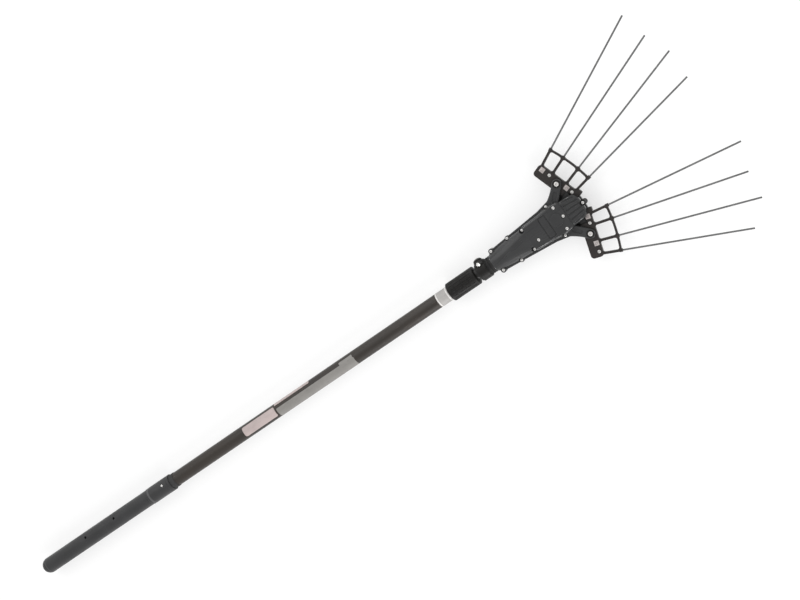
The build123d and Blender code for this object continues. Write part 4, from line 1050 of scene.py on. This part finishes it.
@dataclass
class HeadFasteners(Trim):
    """Screws of the casing and its cover, pivot bolts with nuts and washers, and the clamp's bolt.

    Seats are X, Y and Z, the casing's for its left side; the pivots' is a height from the axis.
    """

    casing_seats: tuple[Point, ...] = (
        (-0.168, 0.0255, 0.040),
        (-0.120, 0.0295, 0.0384),
        (-0.079, 0.0255, 0.047),
        (-0.005, 0.0387, 0.0384),
    )
    front_seat: Point = (0.071, 0.0, 0.050)
    cover_seats: tuple[Point, ...] = (
        (0.011, 0.0278, 0.060),
        (0.011, -0.0278, 0.060),
        (0.0195, 0.0, 0.060),
        (-0.057, -0.0133, 0.060),
    )
    casing_screw: Screw = Screw(0.0036, 0.0028, 0.002, 0.010, Drive.CROSS, 0.0014)
    cover_screw: Screw = Screw(0.0036, 0.0028, 0.002, 0.008, Drive.CROSS, 0.0014)
    screw_turn: float = 37.0
    pivot_bolt: Screw = Screw(0.0054, 0.004, 0.005, 0.03, Drive.HEX, 0.001, 56)
    pivot_nut: Nut = Nut(0.0073, 0.004, 0.005, 6)
    pivot_seat: float = 0.014
    pivot_turns: tuple[float, float] = (20.0, 45.0)
    nut_turns: tuple[float, float] = (10.0, 40.0)
    pivot_washer: Washer = Washer(0.0073, 0.0055, 0.003, 0.0092, 0.0006)
    clamp_bolt: Screw = Screw(0.0044, 0.0045, 0.0025, 0.018, Drive.HEX, 0.0005)
    clamp_nut: Nut = Nut(0.0046, 0.004, 0.0025, 6)
    clamp_x: float = -0.2073
    clamp_reach: float = 0.027
    clamp_tilt: float = 58.0
    clamp_half: float = 0.008

    def build(self) -> None:
        """Model and fit all fasteners of the head."""
        both = [(x, side.sign * y, z) for x, y, z in self.casing_seats for side in Side]
        casing = [*both, self.front_seat]
        self.screws("housing_screw_heads", "housing_screws", self.casing_screw, casing)
        self.screws("cover_screw_heads", "cover_screws", self.cover_screw, self.cover_seats)
        self.pivots()
        self.clamp()

    def screws(self, name: str, node: str, screw: Screw, seats: Sequence[Point]) -> None:
        """Set one kind of screw on its seats, each turned further than the last.

        Args:
            name: Name of the joined piece.
            node: The CAD node that it stands for.
            screw: The screw.
            seats: Seats of the heads.
        """
        places = [upright(seat, turn=self.screw_turn * i) for i, seat in enumerate(seats)]
        heads = self.set_out(name, screw, places)
        self.fit(heads, Paint.ZINC, "head", "screw_steel", node)

    def pivot_places(
        self, seat: float, axis: Sequence[float] = UP, turns: Sequence[float] = (0.0, 0.0)
    ) -> list[Matrix]:
        """Frames on both pivots.

        Args:
            seat: Height from the pole's axis.
            axis: Direction that the pieces look.
            turns: Turn on each side in degrees.

        Returns:
            The left and the right frame.
        """
        x, y = PIVOT
        return [
            upright((x, side.sign * y, AXIS_Z + seat), axis, turn)
            for side, turn in zip(Side, turns)
        ]

    def pivots(self) -> None:
        """Model the pivot bolts, the nuts underneath and the black washers in the bolts' sinks."""
        tops = self.pivot_places(self.pivot_seat, turns=self.pivot_turns)
        bolts = self.set_out("pivot_bolt_heads", self.pivot_bolt, tops)
        self.fit(bolts, Paint.PIVOT, "head", "pivot_steel", "pivot_bolts")
        feet = self.pivot_places(-self.pivot_seat, DOWN, self.nut_turns)
        nuts = self.set_out("pivot_nut_ends", self.pivot_nut, feet)
        self.fit(nuts, Paint.PIVOT, "head", "pivot_steel", "pivot_nuts")
        sinks = self.pivot_places(self.pivot_seat)
        rings = self.set_out("pivot_washers", self.pivot_washer, sinks)
        self.fit(rings, Paint.BLACK, "head", "black_plastic")

    def clamp(self) -> None:
        """Model the clamp's bolt and nut."""
        tilt = math.radians(self.clamp_tilt)
        way = Vector((0, math.cos(tilt), -math.sin(tilt)))
        outward = Vector((0, math.sin(tilt), math.cos(tilt)))
        middle = Vector((self.clamp_x, 0, AXIS_Z)) + outward * self.clamp_reach
        seat = upright(middle + way * self.clamp_half, way)
        head = self.set_out("clamp_bolt_head", self.clamp_bolt, [seat])
        self.fit(head, Paint.ZINC, "head", "screw_steel", "clamp_bolt")
        seat = upright(middle - way * self.clamp_half, -way)
        end = self.set_out("clamp_nut_end", self.clamp_nut, [seat])
        self.fit(end, Paint.ZINC, "head", "screw_steel", "clamp_nut")


@dataclass
class CombFasteners(Trim):
    """Bolts and square nuts that clamp the two halves of a comb, placed from the comb's pivot."""

    along: float = 0.005
    across: tuple[float, ...] = (0.045, 0.025, -0.0228, -0.0385)
    bolt: Screw = Screw(0.0038, 0.003, 0.0025, 0.008, Drive.HEX, 0.00105)
    bolt_seat: float = 0.0046
    bolt_turn: float = 31.0
    nut: Nut = Nut(0.0116 / math.sqrt(2), 0.004, 0.0025, 4)
    nut_seat: float = 0.0038

    def build(self, side: Side) -> None:
        """Model and fit the fasteners of one comb.

        Args:
            side: The comb's side.
        """
        turn = math.radians(side.rest)
        ahead = Vector((math.cos(turn), side.sign * math.sin(turn), 0))
        sideways = Vector((-math.sin(turn), side.sign * math.cos(turn), 0))
        origin = Vector((PIVOT[0], side.sign * PIVOT[1], AXIS_Z)) + ahead * self.along
        square = math.degrees(math.atan2(ahead.y, ahead.x)) + 45
        heads, nuts = [], []
        for i, offset in enumerate(self.across):
            spot = origin + sideways * offset
            up = Vector(UP) * (side.sign if i % 2 else -side.sign)
            heads.append(upright(spot + up * self.bolt_seat, up, self.bolt_turn * i))
            nuts.append(upright(spot - up * self.nut_seat, -up, -square * up.z))
        word = side.word
        bolts = self.set_out(f"{word}_comb_bolt_heads", self.bolt, heads)
        self.fit(bolts, Paint.ZINC, f"comb_{word}", "screw_steel", f"{word}_comb_bolts")
        squares = self.set_out(f"{word}_comb_square_nuts", self.nut, nuts)
        self.fit(squares, Paint.NUT, f"comb_{word}", "nut_steel", f"{word}_comb_nuts")


@dataclass(frozen=True)
class Film:
    """Size and place of one blank film on the pole.

    Attributes:
        rear: X of its rear end.
        front: X of its front end.
        turn: Angle of its middle from the top towards +Y, in degrees.
        half: Half of the angle that it covers.
        layer: Number of films under it.
        corner: Radius of its corners.
    """

    name: str
    paint: Paint
    rear: float
    front: float
    turn: float = 0.0
    half: float = 180.0
    layer: int = 0
    corner: float = 0.0


@dataclass
class PoleTrim(Trim):
    """Blank films on the pole, and the screws of grip and collar."""

    pole_r: float = 0.0175
    film: float = 0.00012
    film_gap: float = 0.00004
    film_sides: int = 240
    corner_cuts: tuple[float, ...] = (22.5, 45.0, 67.5)
    films: tuple[Film, ...] = (
        Film("blank_band", Paint.WHITE_FILM, -0.338, -0.3055),
        Film("band_rear_edge", Paint.EDGE_FILM, -0.338, -0.3348, layer=1),
        Film("band_front_edge", Paint.EDGE_FILM, -0.3105, -0.307, layer=1),
        Film("blank_plate", Paint.PLATE_FILM, -0.929, -0.829, 3.0, 43.0, corner=0.004),
        Film("blank_field", Paint.GREY_FILM, -0.824, -0.586, -37.0, 53.0, corner=0.003),
        Film("field_tab", Paint.GREY_FILM, -0.627, -0.588, 29.0, 12.0, corner=0.002),
        Film("blank_strip", Paint.PLATE_FILM, -0.826, -0.718, 62.0, 16.0, corner=0.002),
    )
    grip_screw: Screw = Screw(0.0031, 0.0024, 0.0015, 0.012, Drive.CROSS, 0.0009)
    grip_seats: tuple[Point, ...] = ((-1.451, 0.0075, 0.043), (-1.354, 0.0075, 0.043))
    grip_turns: tuple[float, ...] = (25.0, 75.0)
    collar_screw: Screw = Screw(0.0029, 0.0022, 0.0018, 0.002, Drive.CROSS, 0.0009)
    collar_x: float = -1.191
    collar_tilt: float = 20.0
    collar_seat: float = 0.0196
    collar_turn: float = 15.0

    def build(self) -> None:
        """Model and fit the films and screws."""
        for film in self.films:
            self.wrap(film)
        self.grip()
        self.collar()

    def wrap(self, film: Film) -> None:
        """Model one film wrapped on the pole.

        Args:
            film: Its size and place.
        """
        radius = self.pole_r + self.film_gap + film.layer * self.film
        piece = cylinder(film.name, radius, film.front - film.rear, self.film_sides)
        with editing(piece, Element.FACE, stands):
            bpy.ops.mesh.delete(type="FACE")
        piece.matrix_world = upright((film.rear, 0, AXIS_Z), AHEAD)
        settle(piece)
        if film.half < 180:
            with editing(piece, Element.FACE, lambda middle, normal: self.outside(middle, film)):
                bpy.ops.mesh.delete(type="FACE")
        if film.corner:
            self.round_corners(piece, film)
        apply_modifier(piece, "SOLIDIFY", thickness=self.film, offset=1.0)
        smooth(piece)
        self.fit(piece, film.paint, "pole", "pole_tube")

    @staticmethod
    def outside(middle: Vector, film: Film) -> bool:
        """Whether a face lies outside the film's angle."""
        return abs(math.degrees(math.atan2(middle.y, middle.z - AXIS_Z)) - film.turn) > film.half

    def round_corners(self, piece: Piece, film: Film) -> None:
        """Cut the four corners of a film round by straight cuts.

        Args:
            piece: The film's mesh.
            film: Its size and place.
        """
        for end, ahead in ((film.rear, -1), (film.front, 1)):
            for side in (-1, 1):
                angle = math.radians(film.turn + side * film.half)
                along = Vector(AHEAD) * ahead
                around = Vector((0, math.cos(angle), -math.sin(angle))) * side
                rim = Vector((0, math.sin(angle), math.cos(angle))) * self.pole_r
                middle = Vector((end, 0, AXIS_Z)) + rim - (along + around) * film.corner
                for turn in map(math.radians, self.corner_cuts):
                    way = along * math.cos(turn) + around * math.sin(turn)
                    spot = middle + way * film.corner
                    with editing(piece, Element.FACE, lambda place, normal: True):
                        bpy.ops.mesh.bisect(plane_co=spot, plane_no=way, clear_outer=True)

    def grip(self) -> None:
        """Model the two sunk screws of the grip."""
        places = [upright(s, turn=t) for s, t in zip(self.grip_seats, self.grip_turns)]
        screws = self.set_out("grip_screw_heads", self.grip_screw, places)
        self.fit(screws, Paint.BLACKENED, "pole", "dark_steel", "grip_screws")

    def collar(self) -> None:
        """Model the collar's screw."""
        tilt = math.radians(self.collar_tilt)
        way = Vector((0, math.sin(tilt), math.cos(tilt)))
        seat = Vector((self.collar_x, 0, AXIS_Z)) + way * self.collar_seat
        place = upright(seat, way, self.collar_turn)
        screw = self.set_out("collar_screw_head", self.collar_screw, [place])
        self.fit(screw, Paint.ZINC, "pole", "screw_steel", "collar_screw")


@dataclass(frozen=True)
class Lamp:
    """Rectangular lamp: its name, place, width and height, and power in watts."""

    name: str
    spot: Point
    size: tuple[float, float]
    power: float


@dataclass
class Studio:
    """Floor, light and the camera of the product view.

    Attributes:
        aim: Spot that the camera and all lamps look at.
        lean: How far the camera leans towards the head, in degrees.
        turn: How far it is turned about its own axis.
        floor_tone: How much light the floor gives back.
        floor_seen: What its tone and glow add up to where it is seen.
        horizon: Strength of the surrounding wall at its foot.
        zenith: Its strength overhead.
    """

    aim: Point = (-0.416, 0.052, 0.031)
    distance: float = 3.6
    lean: float = 17.0
    turn: float = 34.5
    lens: float = 69.2
    sensor: float = 36.0
    clip: tuple[float, float] = (0.01, 100.0)
    floor_size: float = 60.0
    floor_tone: float = 0.45
    floor_seen: float = 1.02
    horizon: float = 1.0
    zenith: float = 0.75
    lamps: tuple[Lamp, ...] = (
        Lamp("key", (-1.3, 2.6, 2.8), (3.4, 3.4), 36.0),
        Lamp("fill", (0.2, -2.9, 2.2), (2.2, 2.2), 18.0),
        Lamp("left_strip", (-0.4, 2.5, 0.75), (1.0, 0.25), 10.0),
        Lamp("right_strip", (-0.4, -2.5, 0.75), (1.0, 0.25), 25.0),
    )

    def build(self) -> None:
        """Set up the studio."""
        bpy.context.scene.view_settings.view_transform = "Standard"
        self.camera()
        self.floor()
        self.world()
        for lamp in self.lamps:
            self.hang(lamp)

    def camera(self) -> None:
        """Place the camera above the tool, leaning towards the head and turned to the view."""
        lean = math.radians(self.lean)
        back = Vector((math.sin(lean), 0, math.cos(lean)))
        along = (Vector(AHEAD) - back * back.x).normalized()
        across = back.cross(along)
        turn = math.radians(self.turn)
        right = along * math.cos(turn) - across * math.sin(turn)
        up = along * math.sin(turn) + across * math.cos(turn)
        data = bpy.data.cameras.new("product_camera")
        data.lens, data.sensor_width = self.lens, self.sensor
        data.clip_start, data.clip_end = self.clip
        camera = bpy.data.objects.new("product_camera", data)
        place = Matrix((right, up, back)).transposed().to_4x4()
        place.translation = Vector(self.aim) + back * self.distance
        camera.matrix_world = place
        bpy.context.scene.collection.objects.link(camera)
        bpy.context.scene.camera = camera

    def floor(self) -> None:
        """Lay a floor that is lifted to white where it is seen and keeps the tool's shadow."""
        bpy.ops.object.select_all(action="DESELECT")
        bpy.ops.mesh.primitive_plane_add(size=self.floor_size, location=(0, 0, 0))
        floor = bpy.context.object
        floor.name = "studio_floor"
        material = bpy.data.materials.new("studio_floor")
        material.use_nodes = True
        nodes = Nodes(material.node_tree)
        nodes.tree.nodes.clear()
        tone = self.floor_tone
        matt = nodes.add("BsdfDiffuse", {"Color": (tone, tone, tone, 1)})
        lift = nodes.math("MULTIPLY", self.seen_ray(nodes), self.floor_seen - tone)
        glow = nodes.add("Emission", {"Strength": lift})
        both = nodes.add("AddShader", {0: matt.outputs[0], 1: glow.outputs[0]})
        nodes.add("OutputMaterial", {"Surface": both.outputs[0]})
        floor.data.materials.append(material)

    @staticmethod
    def seen_ray(nodes: Nodes) -> Socket:
        """Value that is 1 for what the camera sees, directly, mirrored or through glass.

        Args:
            nodes: The node tree to add it to.

        Returns:
            The value.
        """
        path = nodes.add("LightPath", {}).outputs
        direct = nodes.math("MAXIMUM", path["Is Camera Ray"], path["Is Glossy Ray"])
        return nodes.math("MAXIMUM", direct, path["Is Transmission Ray"])

    def world(self) -> None:
        """Surround the studio with a pale wall that darkens towards the ceiling."""
        world = bpy.data.worlds.new("studio")
        bpy.context.scene.world = world
        world.use_nodes = True
        nodes = Nodes(world.node_tree)
        way = nodes.add("TexCoord", {}).outputs["Generated"]
        height = nodes.add("SeparateXYZ", {"Vector": way}).outputs["Z"]
        sky = nodes.tree.nodes["Background"].inputs
        nodes.feed(sky["Color"], (1, 1, 1, 1))
        nodes.feed(sky["Strength"], nodes.ramp(height, 0.0, 1.0, self.horizon, self.zenith))

    def hang(self, lamp: Lamp) -> None:
        """Hang one lamp so that it looks at the tool.

        Args:
            lamp: The lamp.
        """
        data = bpy.data.lights.new(lamp.name, "AREA")
        data.shape, data.energy = "RECTANGLE", lamp.power
        data.size, data.size_y = lamp.size
        light = bpy.data.objects.new(lamp.name, data)
        light.location = lamp.spot
        towards = Vector(self.aim) - Vector(lamp.spot)
        light.rotation_euler = towards.to_track_quat("-Z", "Y").to_euler()
        bpy.context.scene.collection.objects.link(light)


def dress_nodes(nodes: dict[str, Piece]) -> None:
    """Give every CAD node its finish.

    Args:
        nodes: CAD nodes by name.
    """
    for paint, names in NODES.items():
        for name in names:
            coat(nodes[name], paint)
    for paint, names in COMB_NODES.items():
        for name in names:
            for side in Side:
                coat(nodes[f"{side.word}_{name}"], paint)
    log.info("dressed %d nodes", len(nodes))


def main() -> None:
    """Build the studio and all looks of the tool."""
    logging.basicConfig(level=logging.INFO, format="%(message)s")
    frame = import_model()
    Studio().build()
    dress_nodes(frame["nodes"])
    HeadFasteners().build()
    for side in Side:
        CombFasteners().build(side)
    PoleTrim().build()
    bpy.ops.object.select_all(action="DESELECT")


if __name__ == "__main__":
    main()
